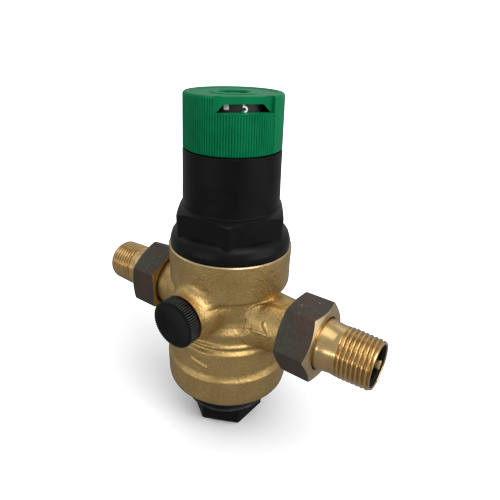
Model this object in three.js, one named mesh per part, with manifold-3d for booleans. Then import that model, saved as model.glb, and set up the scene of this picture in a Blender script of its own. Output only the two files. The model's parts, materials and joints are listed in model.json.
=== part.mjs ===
// Water pressure regulator: a DN 15 diaphragm pressure reducing valve with a scale knob and two
// union connections. Millimetres, +Z up. The origin is the centre of the bottom plug's flat face,
// the pipe runs along X from the inlet (-X) to the outlet (+X), and the gauge ports face -Y and +Y.
import * as THREE from "three";
import { mergeVertices } from "three/addons/utils/BufferGeometryUtils.js";
import Module from "manifold-3d";

const wasm = await Module();
wasm.setup();

// ---- driving dimensions ----
const PIPE_Z = 62; // height of the pipe axis over the standing face
const TOP_Z = 156.2; // top of the knob
const HALF_LENGTH = 71.5; // body axis to the end of a tailpiece
const GAP = 0.3; // clearance between pieces that touch on the real valve

// cast body
const DRUM_R = 26.5;
const DRUM_LOW_Z = 76.8;
const RIM_Z = 94;
const BOWL_R = 28.4;
const BOWL_BOTTOM_Z = 25;
const BOWL_LEDGE_Z = 38.8; // the bowl's wide part ends here
const LEDGE_R = 26.1; // second ledge, under the pipe
const LEDGE_Z = 51.2;
const BAND_R = 24.1; // between the second ledge and the waist
const BAND_Z = [56, 60.6];
const NECK_R = 21.4;
const NECK_Z = [65.2, 73.4];
const BRANCH_R = 12.4;
const BRANCH_ROOT_R = 13.4;
const BONNET_THREAD_R = 23.6;
const DIAPHRAGM_SEAT_Z = 82;
const UPPER_CHAMBER_R = 20;
const UPPER_CHAMBER_FLOOR_Z = 76;
const INSERT_BORE_R = 13;
const OUTLET_CHAMBER_R = 14.8;
const OUTLET_CHAMBER_Z = [56, 71];
const INLET_CHAMBER_R = 20.5;
const INLET_CHAMBER_TOP_Z = 51;
const PLUG_SEAL_GROOVE_R = 22.5;
const PLUG_SEAL_GROOVE_DEPTH = 1.9;
const PASSAGE_R = 8;
const PASSAGE_START = [17.8, 11]; // inlet and outlet passages, from the body axis
const DUCT_R = 4;
const RELIEF_R = 1.2;

// union connections, measured along the pipe from the body axis
const PORT_THREAD_R = 13.1; // G 3/4 male
const PORT_END = 38.6;
const WASHER_END = 40.2;
const TAIL_FLANGE_END = 43.4;
const TAIL_FLANGE_R = 12.6;
const TAIL_NECK_R = 10.9;
const NUT_START = 34.1;
const NUT_END = 49.2;
const NUT_AF = 30;
const NUT_CHAMFER = [0.8, 1.7]; // along the pipe, at the body side and at the free side
const NUT_FACE_R = [14.5, 14.2];
const NUT_LIP_START = 43.7;
const TAIL_THREAD_R = 10.4; // R 1/2 male
const TAIL_THREAD_START = 56.3;
const TAIL_PITCH = 1.814;
const TAIL_THREAD_DEPTH = 1.16;
const TAIL_BORE_R = 7.5;
const LUG_START = 60;
const LUG_REACH = 5;
const LUG_WIDTH = 2.4;

// gauge ports, measured along Y from the body axis
const GAUGE_Z = 69.9;
const GAUGE_BOSS_END = 31.9;
const GAUGE_BOSS_R = 10.5;
const GAUGE_ROOT_R = 12.4;
const GAUGE_SEAL_R = 8.4;
const GAUGE_SEAL_DEPTH = 1.5;
const GAUGE_HOLE_R = 5.9;
const GAUGE_HOLE_START = 21;
const GAUGE_DUCT_R = 2.5;
const GAUGE_DUCT_START = 12;
const GAUGE_PLUG_END = 37.6;
const GAUGE_PLUG_R = 10.3;
const GAUGE_PLUG_RIBS = 24;
const GAUGE_RIB_DEPTH = 0.4;
const GAUGE_SHANK_LENGTH = 8.5;

// bottom plug and filter
const PLUG_FLANGE_R = 24.8;
const PLUG_EDGE_R = 20.2; // lower edge of the tapered flange
const PLUG_EDGE_Z = 14.6;
const PLUG_HEX_AF = 31;
const PLUG_HEX_LOW_Z = 4.3;
const PLUG_FACE_AF = 21; // the standing face, under the hexagon's chamfer
const PLUG_HEX_TURN = 56.3; // degrees, from -Y towards +X
const PLUG_THREAD_R = 20.1;
const PLUG_TOP_Z = 34;
const PLUG_CUP_R = 16.8;
const PLUG_CUP_FLOOR_Z = 21;
const FILTER_R = 13.2;
const FILTER_BAR = 1.8;
const FILTER_Z = [24.5, 48.6];

// spring bonnet
const FLANGE_R = 25.8;
const FLANGE_TOP_Z = 96.6;
const BONNET_AF = 42.8;
const BONNET_HEX_LOW_Z = 96;
const BONNET_HEX_TOP_Z = 109.2;
const BONNET_CHAMFER_TOP_Z = 112;
const BARREL_R = [20.2, 19.8]; // at the hexagon and under the knob
const BARREL_TAPER_TOP_Z = 130;
const BARREL_TOP_Z = 134.8;
const BONNET_TOP_Z = 140;
const BONNET_TOP_R = 16.7;
const BONNET_ROOF = 3.1;
const SPRING_BORE_R = 16.2;
const SPRING_MOUTH_R = 19.8;
const SPRING_MOUTH_Z = [92, 98]; // the bore narrows between these heights
const KEYWAY_R = 17.9;
const KEYWAY_WIDTH = 5;
const KEYWAY_Z = [104, 134];
const SPINDLE_HOLE_R = 6.4;
const BONNET_HEX_TURN = 34.2; // degrees, from -Y towards +X

// knob
const KNOB_R = 19.7;
const KNOB_BOTTOM_Z = 135.2;
const KNOB_BORE_R = 17.2;
const KNOB_RIBS = 40;
const KNOB_RIB_DEPTH = 0.35;
const KNOB_ROOF = 1.6;
const HUB_R = 8.5;
const HUB_LOW_Z = 141;
const SCREW_RECESS_R = 6;
const SCREW_RECESS_Z = 152.8;
const SCREW_HOLE_R = 2.3;
const WINDOW_TURN = 50.7; // degrees, from -Y towards +X
const WINDOW_HALF_WIDTH = 11;
const WINDOW_WALL = 14.8; // from the knob's axis to the window's wall
const WINDOW_WALL_THICKNESS = 5;
const WINDOW_FLOOR_Z = 150.4;
const OPENING_HALF_WIDTH = [10.2, 7.4]; // at the floor and at the top
const OPENING_HEIGHT = 2.9;
const OPENING_START = 12.6;
const SCALE_R = 13.8;
const SCALE_WALL = 1.4;
const SCALE_HOLE_R = 9.6;

// mechanism inside
const SPINDLE_R = 5.1;
const SPINDLE_LOW_Z = 103;
const SPINDLE_COLLAR_R = 8;
const SPINDLE_COLLAR_Z = [134.2, 136.5];
const SPINDLE_NECK_R = 6;
const SPINDLE_NECK_TOP_Z = 141;
const DRIVE_AF = 10.4;
const DRIVE_TOP_Z = 150.2;
const SPRING_R = 10.8;
const SPRING_WIRE_R = 1.6;
const SPRING_TURNS = 6;
const SPRING_Z = [86.4, 115.8];
const SPRING_NUT_Z = 116.2;
const SPRING_NUT_R = 14.4;
const SPRING_NUT_PLATE = 2.6;
const SPRING_NUT_SLEEVE_R = 9;
const SPRING_NUT_HEIGHT = 8.2;
const WING_REACH = 17.4;
const WING_WIDTH = 4.2;
const STEM_R = 2.5;
const STEM_Z = [44, 90.6];
const STEM_BODY_R = 3.5;
const STEM_BODY_Z = [51.1, 80];
const STEM_HOLE_R = 2.7;
const SEAT_Z = 53.5;
const SEAT_HOLE_R = 5.5;
const SEAL_R = 7.4;
const SEAL_Z = [49.1, 50.9];
const SEAL_CARRIER_R = 7;
const SEAL_CARRIER_Z = [47.2, 48.9];
const PISTON_R = 6.3;
const PISTON_Z = [68.5, 73.6];
const PISTON_GROOVE = 1.3;
const PISTON_GROOVE_Z = [70.2, 72];
const INSERT_LOW_Z = 50.4;
const INSERT_SKIRT_R = 8.6;
const INSERT_FLANGE_R = 18.4;
const INSERT_FLANGE = 2.2;
const INSERT_ROOM_R = 10;
const INSERT_ROOM_Z = [57.4, 65.6];
const INSERT_GROOVE = 1.2;
const INSERT_GROOVE_Z = [[52.6, 54.4], [72.6, 74.4]];
const INSERT_PORT_WIDTH = 9;
const INSERT_PORT_Z = [58, 65.4];
const LOWER_PLATE_R = 14;
const LOWER_PLATE_Z = [80.2, 81.8];
const DIAPHRAGM_Z = [82.15, 83.55];
const DIAPHRAGM_FOLD_R = [15, 17, 19];
const DIAPHRAGM_FOLD = 0.8;
const SLIP_RING_Z = [83.8, 85.4];
const SLIP_RING_HOLE_R = 19.6;
const CUP_R = 14.6;
const CUP_Z = [83.9, 87.4];
const CUP_FLOOR_Z = 86;
const SMALL_NUT_AF = 8;
const SEAL_NUT_Z = [44.4, 47];
const STEM_NUT_Z = [86.2, 89.4];
const LOCK_SHANK_R = 2;
const LOCK_HEAD_R = 4.8;
const LOCK_Z = [143, 153.1, 155.5]; // tip, under the head and top
const LOCK_SLOT_WIDTH = 1.1;

// facets
const COARSE = 12;
const MEDIUM = 20;
const FINE = 32;

const BRASS = { color: 0x8d7444, roughness: 0.45, metalness: 0.9 };
const BRIGHT_BRASS = { color: 0xc9a15a, roughness: 0.22, metalness: 1.0 };
const DARK_BRASS = { color: 0x544c42, roughness: 0.5, metalness: 0.7 };
const BLACK_PLASTIC = { color: 0x161616, roughness: 0.5, metalness: 0 };
const GREEN_PLASTIC = { color: 0x0b7a4e, roughness: 0.55, metalness: 0 };
const WHITE_PLASTIC = { color: 0xe6e2d6, roughness: 0.5, metalness: 0 };
const RUBBER = { color: 0x0e0e0e, roughness: 0.8, metalness: 0 };
const STEEL = { color: 0xa9abad, roughness: 0.3, metalness: 1.0 };
const FIBRE = { color: 0x7a3b2c, roughness: 0.9, metalness: 0 };

const radians = THREE.MathUtils.degToRad;

// ---- solids ----

// A closed geometry as a solid that can be joined and cut.
function solid(geometry) {
  const bare = geometry.clone();
  bare.deleteAttribute("normal");
  bare.deleteAttribute("uv");
  const merged = mergeVertices(bare, 1e-4);
  const corners = merged.index.array;
  const triangles = [];
  for (let i = 0; i < corners.length; i += 3) {
    const [a, b, c] = corners.slice(i, i + 3);
    if (a !== b && b !== c && c !== a) triangles.push(a, b, c);
  }
  const vertProperties = new Float32Array(merged.attributes.position.array);
  const triVerts = new Uint32Array(triangles);
  return new wasm.Manifold(new wasm.Mesh({ numProp: 3, vertProperties, triVerts }));
}

function geometryOf(manifold) {
  const { vertProperties, triVerts } = manifold.getMesh();
  const geometry = new THREE.BufferGeometry();
  geometry.setAttribute("position", new THREE.BufferAttribute(vertProperties, 3));
  geometry.setIndex(new THREE.BufferAttribute(triVerts, 1));
  geometry.computeVertexNormals();
  return geometry;
}

// A turned piece about Z from its [radius, z] outline, which runs upwards on the outside.
function turned(outline, segments) {
  const points = outline.map(([radius, z]) => new THREE.Vector2(radius, z));
  return new THREE.LatheGeometry(points, segments).rotateX(Math.PI / 2);
}

function disc(radius, low, high, segments = MEDIUM) {
  return turned([[0, low], [radius, low], [radius, high], [0, high]], segments);
}

function ring(inner, outer, low, high, segments = MEDIUM) {
  const outline = [[inner, low], [outer, low], [outer, high], [inner, high], [inner, low]];
  return turned(outline, segments);
}

function hexagon(acrossFlats, low, high, topAcrossFlats = acrossFlats) {
  const corner = acrossFlats / Math.sqrt(3);
  const topCorner = topAcrossFlats / Math.sqrt(3);
  const prism = new THREE.CylinderGeometry(topCorner, corner, high - low, 6);
  return prism.rotateX(Math.PI / 2).translate(0, 0, (low + high) / 2);
}

function block(sizeX, sizeY, low, high, x = 0, y = 0) {
  return new THREE.BoxGeometry(sizeX, sizeY, high - low).translate(x, y, (low + high) / 2);
}

function rubberRing(radius, thickness, z, segments = COARSE) {
  return new THREE.TorusGeometry(radius, thickness, 6, segments).translate(0, 0, z);
}

function joined(first, ...others) {
  return others.reduce((sum, other) => sum.add(solid(other)), solid(first));
}

function cut(blank, ...tools) {
  return tools.reduce((rest, tool) => rest.subtract(solid(tool)), blank);
}

// A tool built along Z, laid along +X or -X at the pipe's height.
function alongPipe(geometry, side) {
  return geometry.rotateY((side * Math.PI) / 2).translate(0, 0, PIPE_Z);
}

// A tool built along Z, laid along -Y or +Y at the gauge ports' height.
function alongGauge(geometry, side) {
  return geometry.rotateX((-side * Math.PI) / 2).translate(0, 0, GAUGE_Z);
}

// A tool turned about Z by degrees counted from -Y towards +X.
function facing(geometry, degrees) {
  return geometry.rotateZ(radians(degrees));
}

// ---- cast body ----

function bodyOutline() {
  return [
    [0, BOWL_BOTTOM_Z],
    [BOWL_R - 1.4, BOWL_BOTTOM_Z],
    [BOWL_R - 0.3, BOWL_BOTTOM_Z + 1.2],
    [BOWL_R, BOWL_BOTTOM_Z + 6.6],
    [BOWL_R, BOWL_LEDGE_Z],
    [BOWL_R - 0.9, BOWL_LEDGE_Z + 1.4],
    [LEDGE_R, LEDGE_Z],
    [LEDGE_R - 1.2, LEDGE_Z + 2],
    [LEDGE_R - 1.2, LEDGE_Z + 3.6],
    [BAND_R, BAND_Z[0]],
    [BAND_R, BAND_Z[1]],
    [NECK_R, NECK_Z[0]],
    [NECK_R, NECK_Z[1]],
    [DRUM_R - 0.7, DRUM_LOW_Z],
    [DRUM_R, DRUM_LOW_Z + 1.4],
    [DRUM_R, RIM_Z],
    [0, RIM_Z],
  ];
}

function branch(side) {
  const start = PASSAGE_START[0] - 1;
  const outline = [
    [0, start],
    [BRANCH_ROOT_R, start],
    [BRANCH_ROOT_R - 0.2, start + 7],
    [BRANCH_R, PORT_END - 8.6],
    [BRANCH_R, PORT_END - 5],
    [PORT_THREAD_R, PORT_END - 4.6],
    [PORT_THREAD_R, PORT_END],
    [0, PORT_END],
  ];
  return alongPipe(turned(outline, MEDIUM), side);
}

function gaugeBoss(side) {
  const start = PASSAGE_START[0] - 1;
  const outline = [
    [0, start],
    [GAUGE_ROOT_R, start],
    [GAUGE_ROOT_R, start + 4],
    [GAUGE_ROOT_R - 1.2, GAUGE_BOSS_END - 5.8],
    [GAUGE_BOSS_R, GAUGE_BOSS_END - 2.2],
    [GAUGE_BOSS_R, GAUGE_BOSS_END],
    [0, GAUGE_BOSS_END],
  ];
  return alongGauge(turned(outline, MEDIUM), side);
}

// The inlet water turns down beside the outlet chamber into the filter chamber.
function inletDuct() {
  const start = new THREE.Vector3(-PASSAGE_START[0] - 5.2, 0, PIPE_Z + 2);
  const end = new THREE.Vector3(-PASSAGE_START[0] + 0.2, 0, INLET_CHAMBER_TOP_Z - 5);
  const along = end.clone().sub(start);
  const duct = new THREE.CylinderGeometry(DUCT_R, DUCT_R, along.length(), COARSE);
  const up = new THREE.Vector3(0, 1, 0);
  const turn = new THREE.Quaternion().setFromUnitVectors(up, along.clone().normalize());
  const middle = start.add(end).multiplyScalar(0.5);
  return duct.applyQuaternion(turn).translate(middle.x, middle.y, middle.z);
}

function bodyGeometry() {
  const blank = joined(
    turned(bodyOutline(), FINE),
    branch(-1),
    branch(1),
    gaugeBoss(-1),
    gaugeBoss(1),
  );
  const gaugePort = (side) => [
    alongGauge(disc(GAUGE_SEAL_R, GAUGE_BOSS_END - GAUGE_SEAL_DEPTH, GAUGE_BOSS_END + 1), side),
    alongGauge(disc(GAUGE_HOLE_R, GAUGE_HOLE_START, GAUGE_BOSS_END, COARSE), side),
    alongGauge(disc(GAUGE_DUCT_R, GAUGE_DUCT_START, GAUGE_HOLE_START + 1, COARSE), side),
  ];
  const grooveTop = BOWL_BOTTOM_Z + PLUG_SEAL_GROOVE_DEPTH;
  const relief = new THREE.CylinderGeometry(RELIEF_R, RELIEF_R, 8, COARSE);
  relief.rotateX(Math.PI / 2).translate(0, OUTLET_CHAMBER_R - 0.8, UPPER_CHAMBER_FLOOR_Z - 3);
  return geometryOf(cut(
    blank,
    disc(BONNET_THREAD_R, DIAPHRAGM_SEAT_Z, RIM_Z + 1, FINE),
    disc(UPPER_CHAMBER_R, UPPER_CHAMBER_FLOOR_Z, DIAPHRAGM_SEAT_Z + 1, FINE),
    disc(INSERT_BORE_R, INLET_CHAMBER_TOP_Z - 1, UPPER_CHAMBER_FLOOR_Z + 1),
    disc(OUTLET_CHAMBER_R, ...OUTLET_CHAMBER_Z),
    disc(INLET_CHAMBER_R, BOWL_BOTTOM_Z - 1, INLET_CHAMBER_TOP_Z, FINE),
    disc(PLUG_SEAL_GROOVE_R, BOWL_BOTTOM_Z - 1, grooveTop, FINE),
    alongPipe(disc(PASSAGE_R, PASSAGE_START[0], PORT_END + 1, COARSE), -1),
    alongPipe(disc(PASSAGE_R, PASSAGE_START[1], PORT_END + 1, COARSE), 1),
    inletDuct(),
    relief,
    ...gaugePort(-1),
    ...gaugePort(1),
  ));
}

// ---- union connections, built along +Z from the body axis ----

function washerGeometry() {
  return ring(PASSAGE_R + 0.3, PORT_THREAD_R - 0.5, PORT_END + GAP, WASHER_END - GAP / 2);
}

// Rings of triangular section stand for the helical thread.
function tailOutline() {
  const root = TAIL_THREAD_R - TAIL_THREAD_DEPTH;
  const outline = [
    [TAIL_BORE_R, WASHER_END + GAP / 2],
    [TAIL_FLANGE_R, WASHER_END + GAP / 2],
    [TAIL_FLANGE_R, TAIL_FLANGE_END],
    [TAIL_NECK_R, TAIL_FLANGE_END],
    [TAIL_NECK_R, NUT_END + 0.4],
    [TAIL_NECK_R - 0.4, TAIL_THREAD_START - 2.4],
    [root, TAIL_THREAD_START - 1],
  ];
  const crests = Math.floor((HALF_LENGTH - TAIL_THREAD_START) / TAIL_PITCH);
  for (let i = 0; i < crests; i += 1) {
    const low = TAIL_THREAD_START + i * TAIL_PITCH;
    outline.push([root, low]);
    outline.push([TAIL_THREAD_R, low + TAIL_PITCH / 2]);
  }
  outline.push([root, HALF_LENGTH - 0.4]);
  outline.push([root - 0.3, HALF_LENGTH]);
  outline.push([TAIL_BORE_R, HALF_LENGTH]);
  outline.push([TAIL_BORE_R, WASHER_END + GAP / 2]);
  return outline;
}

function tailGeometry() {
  const wall = TAIL_BORE_R + 0.6;
  const lug = (side) => block(LUG_WIDTH, wall - LUG_REACH, LUG_START, HALF_LENGTH - 1,
    0, (side * (wall + LUG_REACH)) / 2);
  return geometryOf(joined(turned(tailOutline(), COARSE), lug(-1), lug(1)));
}

function unionNutGeometry(turn) {
  const corner = NUT_AF / Math.sqrt(3) + 0.1;
  const chamfered = turned([
    [0, NUT_START],
    [NUT_FACE_R[0], NUT_START],
    [corner, NUT_START + NUT_CHAMFER[0]],
    [corner, NUT_END - NUT_CHAMFER[1]],
    [NUT_FACE_R[1], NUT_END],
    [0, NUT_END],
  ], MEDIUM);
  const prism = solid(hexagon(NUT_AF, NUT_START, NUT_END).rotateZ(radians(turn)));
  const bore = disc(PORT_THREAD_R + GAP, NUT_START - 1, NUT_LIP_START);
  const hole = disc(TAIL_NECK_R + GAP + 0.1, NUT_LIP_START - 1, NUT_END + 1);
  return geometryOf(cut(prism.intersect(solid(chamfered)), bore, hole));
}

// ---- gauge plugs, built along +Z from the body axis ----

function ribbedDisc(radius, depth, ribs, low, high) {
  const shape = new THREE.Shape();
  for (let i = 0; i < ribs * 2; i += 1) {
    const angle = (i * Math.PI) / ribs;
    const reach = radius - (i % 2) * depth;
    const [x, y] = [reach * Math.cos(angle), reach * Math.sin(angle)];
    if (i === 0) shape.moveTo(x, y);
    else shape.lineTo(x, y);
  }
  shape.closePath();
  const options = { depth: high - low, bevelEnabled: false };
  return new THREE.ExtrudeGeometry(shape, options).translate(0, 0, low);
}

function gaugePlugGeometry() {
  const low = GAUGE_BOSS_END + GAP;
  const high = GAUGE_PLUG_END - 0.6;
  const head = ribbedDisc(GAUGE_PLUG_R, GAUGE_RIB_DEPTH, GAUGE_PLUG_RIBS, low, high);
  const face = turned([
    [0, high - 1],
    [GAUGE_PLUG_R - 0.7, high - 1],
    [GAUGE_PLUG_R - 0.9, GAUGE_PLUG_END],
    [0, GAUGE_PLUG_END],
  ], MEDIUM);
  const shank = disc(GAUGE_HOLE_R - GAP, GAUGE_BOSS_END - GAUGE_SHANK_LENGTH, low + 1, COARSE);
  return geometryOf(joined(head, face, shank));
}

// ---- bottom plug and filter ----

function bottomPlugGeometry() {
  const rim = BOWL_BOTTOM_Z - GAP;
  const cup = turned([
    [0, PLUG_EDGE_Z - 2],
    [PLUG_FACE_AF / 2, PLUG_EDGE_Z - 2],
    [PLUG_EDGE_R - 0.7, PLUG_EDGE_Z - 0.4],
    [PLUG_EDGE_R, PLUG_EDGE_Z],
    [PLUG_EDGE_R, PLUG_EDGE_Z + 0.5],
    [PLUG_EDGE_R - 0.9, PLUG_EDGE_Z + 1.5],
    [PLUG_FLANGE_R - 1, rim - 3],
    [PLUG_FLANGE_R, rim - 1.6],
    [PLUG_FLANGE_R, rim],
    [PLUG_THREAD_R, rim],
    [PLUG_THREAD_R, PLUG_TOP_Z],
    [PLUG_CUP_R, PLUG_TOP_Z],
    [PLUG_CUP_R, PLUG_CUP_FLOOR_Z],
    [0, PLUG_CUP_FLOOR_Z],
  ], FINE);
  const foot = hexagon(PLUG_HEX_AF, PLUG_HEX_LOW_Z, PLUG_EDGE_Z);
  const chamfer = hexagon(PLUG_FACE_AF, 0, PLUG_HEX_LOW_Z, PLUG_HEX_AF);
  return geometryOf(joined(cup, facing(foot, PLUG_HEX_TURN), facing(chamfer, PLUG_HEX_TURN)));
}

function filterFrameGeometry() {
  const [low, high] = FILTER_Z;
  const outer = FILTER_R - 0.6;
  const ribs = [];
  for (let i = 0; i < 3; i += 1) {
    ribs.push(block(2, 2 * FILTER_R - FILTER_BAR, low + 1, high - 1).rotateZ((i * Math.PI) / 3));
  }
  const frame = joined(
    ring(outer - FILTER_BAR, outer, high - 2, high + 1.4),
    ring(outer - FILTER_BAR, outer, low - 0.4, low + 2),
    ...ribs,
  );
  return geometryOf(cut(frame, disc(outer - FILTER_BAR, low - 2, high + 2)));
}

function filterMeshGeometry() {
  return ring(FILTER_R - 0.4, FILTER_R + 0.1, ...FILTER_Z);
}

// ---- valve insert and moving stem ----

function insertGeometry() {
  const outer = INSERT_BORE_R - GAP;
  const flange = UPPER_CHAMBER_FLOOR_Z + GAP;
  const top = flange + INSERT_FLANGE;
  const [lowGroove, highGroove] = INSERT_GROOVE_Z;
  const sleeve = turned([
    [INSERT_SKIRT_R, INSERT_LOW_Z],
    [outer, INSERT_LOW_Z],
    [outer, lowGroove[0]],
    [outer - INSERT_GROOVE, lowGroove[0]],
    [outer - INSERT_GROOVE, lowGroove[1]],
    [outer, lowGroove[1]],
    [outer, highGroove[0]],
    [outer - INSERT_GROOVE, highGroove[0]],
    [outer - INSERT_GROOVE, highGroove[1]],
    [outer, highGroove[1]],
    [outer, flange],
    [INSERT_FLANGE_R, flange],
    [INSERT_FLANGE_R, top],
    [PISTON_R + GAP, top],
    [PISTON_R + GAP, PISTON_Z[0] - 1.5],
    [INSERT_ROOM_R, INSERT_ROOM_Z[1]],
    [INSERT_ROOM_R, INSERT_ROOM_Z[0]],
    [SEAT_HOLE_R, SEAT_Z + 2.5],
    [SEAT_HOLE_R, SEAT_Z],
    [SEAT_HOLE_R + 1, SEAT_Z],
    [SEAT_HOLE_R + 1.4, SEAT_Z + 0.6],
    [INSERT_SKIRT_R, SEAT_Z + 0.6],
    [INSERT_SKIRT_R, INSERT_LOW_Z],
  ], MEDIUM);
  const port = (turn) => block(INSERT_PORT_WIDTH, 30, ...INSERT_PORT_Z).rotateZ(radians(turn));
  const relief = new THREE.CylinderGeometry(0.9, 0.9, 4, COARSE).rotateX(Math.PI / 2);
  relief.translate(0, INSERT_FLANGE_R - 2.9, top - 1);
  return geometryOf(cut(solid(sleeve), port(0), port(90), relief));
}

function stemGeometry() {
  return turned([
    [0, STEM_Z[0]],
    [STEM_R, STEM_Z[0]],
    [STEM_R, STEM_BODY_Z[0]],
    [STEM_BODY_R, STEM_BODY_Z[0]],
    [STEM_BODY_R, PISTON_Z[0]],
    [PISTON_R, PISTON_Z[0]],
    [PISTON_R, PISTON_GROOVE_Z[0]],
    [PISTON_R - PISTON_GROOVE, PISTON_GROOVE_Z[0]],
    [PISTON_R - PISTON_GROOVE, PISTON_GROOVE_Z[1]],
    [PISTON_R, PISTON_GROOVE_Z[1]],
    [PISTON_R, PISTON_Z[1]],
    [STEM_BODY_R, PISTON_Z[1]],
    [STEM_BODY_R, STEM_BODY_Z[1]],
    [STEM_R, STEM_BODY_Z[1]],
    [STEM_R, STEM_Z[1]],
    [0, STEM_Z[1]],
  ], COARSE);
}

function smallNutGeometry([low, high]) {
  return geometryOf(cut(solid(hexagon(SMALL_NUT_AF, low, high)),
    disc(STEM_HOLE_R, low - 1, high + 1, COARSE)));
}

function lowerPlateGeometry() {
  const [low, high] = LOWER_PLATE_Z;
  return turned([
    [STEM_HOLE_R, low],
    [LOWER_PLATE_R - 0.6, low],
    [LOWER_PLATE_R, low + 0.6],
    [LOWER_PLATE_R, high],
    [STEM_HOLE_R, high],
    [STEM_HOLE_R, low],
  ], MEDIUM);
}

function diaphragmGeometry() {
  const [low, high] = DIAPHRAGM_Z;
  const [start, middle, end] = DIAPHRAGM_FOLD_R;
  const outer = BONNET_THREAD_R - 0.5;
  return turned([
    [STEM_HOLE_R, low],
    [start, low],
    [middle, low - DIAPHRAGM_FOLD],
    [end, low],
    [outer, low],
    [outer, high],
    [end, high],
    [middle, high - DIAPHRAGM_FOLD],
    [start, high],
    [STEM_HOLE_R, high],
    [STEM_HOLE_R, low],
  ], FINE);
}

function springCupGeometry() {
  const [low, high] = CUP_Z;
  return turned([
    [STEM_HOLE_R, low],
    [CUP_R - 0.6, low],
    [CUP_R, low + 0.6],
    [CUP_R, high],
    [CUP_R - 1.2, high],
    [CUP_R - 1.2, CUP_FLOOR_Z],
    [STEM_HOLE_R, CUP_FLOOR_Z],
    [STEM_HOLE_R, low],
  ], MEDIUM);
}

// ---- adjusting spring, spring nut and spindle ----

class SpringPath extends THREE.Curve {
  constructor(low, high) {
    super();
    this.low = low;
    this.high = high;
  }

  getPoint(t, target = new THREE.Vector3()) {
    const angle = t * SPRING_TURNS * 2 * Math.PI;
    const z = THREE.MathUtils.lerp(this.low, this.high, THREE.MathUtils.smoothstep(t, 0.04, 0.96));
    return target.set(SPRING_R * Math.cos(angle), SPRING_R * Math.sin(angle), z);
  }
}

function springGeometry() {
  const section = new THREE.Shape();
  for (let i = 0; i < 6; i += 1) {
    const angle = (i * Math.PI) / 3;
    const [x, y] = [SPRING_WIRE_R * Math.cos(angle), SPRING_WIRE_R * Math.sin(angle)];
    if (i === 0) section.moveTo(x, y);
    else section.lineTo(x, y);
  }
  section.closePath();
  const [low, high] = SPRING_Z;
  const extrudePath = new SpringPath(low + SPRING_WIRE_R, high - SPRING_WIRE_R);
  return new THREE.ExtrudeGeometry(section, { steps: 12 * SPRING_TURNS, extrudePath });
}

function springNutGeometry() {
  const low = SPRING_NUT_Z;
  const high = low + SPRING_NUT_HEIGHT;
  const plate = turned([
    [0, low],
    [SPRING_NUT_R, low],
    [SPRING_NUT_R, low + SPRING_NUT_PLATE],
    [SPRING_NUT_SLEEVE_R + 0.4, low + SPRING_NUT_PLATE + 0.8],
    [SPRING_NUT_SLEEVE_R, high],
    [0, high],
  ], MEDIUM);
  const wings = block(2 * WING_REACH, WING_WIDTH, low, low + SPRING_NUT_PLATE);
  return geometryOf(cut(joined(plate, wings), disc(SPINDLE_R + GAP, low - 1, high + 1, COARSE)));
}

function spindleGeometry() {
  const [collarLow, collarHigh] = SPINDLE_COLLAR_Z;
  const shaft = turned([
    [0, SPINDLE_LOW_Z],
    [SPINDLE_R - 0.6, SPINDLE_LOW_Z],
    [SPINDLE_R, SPINDLE_LOW_Z + 0.6],
    [SPINDLE_R, collarLow],
    [SPINDLE_COLLAR_R, collarLow],
    [SPINDLE_COLLAR_R, collarHigh],
    [SPINDLE_NECK_R, collarHigh],
    [SPINDLE_NECK_R, SPINDLE_NECK_TOP_Z],
    [0, SPINDLE_NECK_TOP_Z],
  ], COARSE);
  const drive = hexagon(DRIVE_AF, SPINDLE_NECK_TOP_Z - 0.5, DRIVE_TOP_Z);
  const tap = disc(SCREW_HOLE_R, SPINDLE_NECK_TOP_Z + 0.5, DRIVE_TOP_Z + 1, COARSE);
  return geometryOf(cut(joined(shaft, drive), tap));
}

// ---- spring bonnet ----

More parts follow.
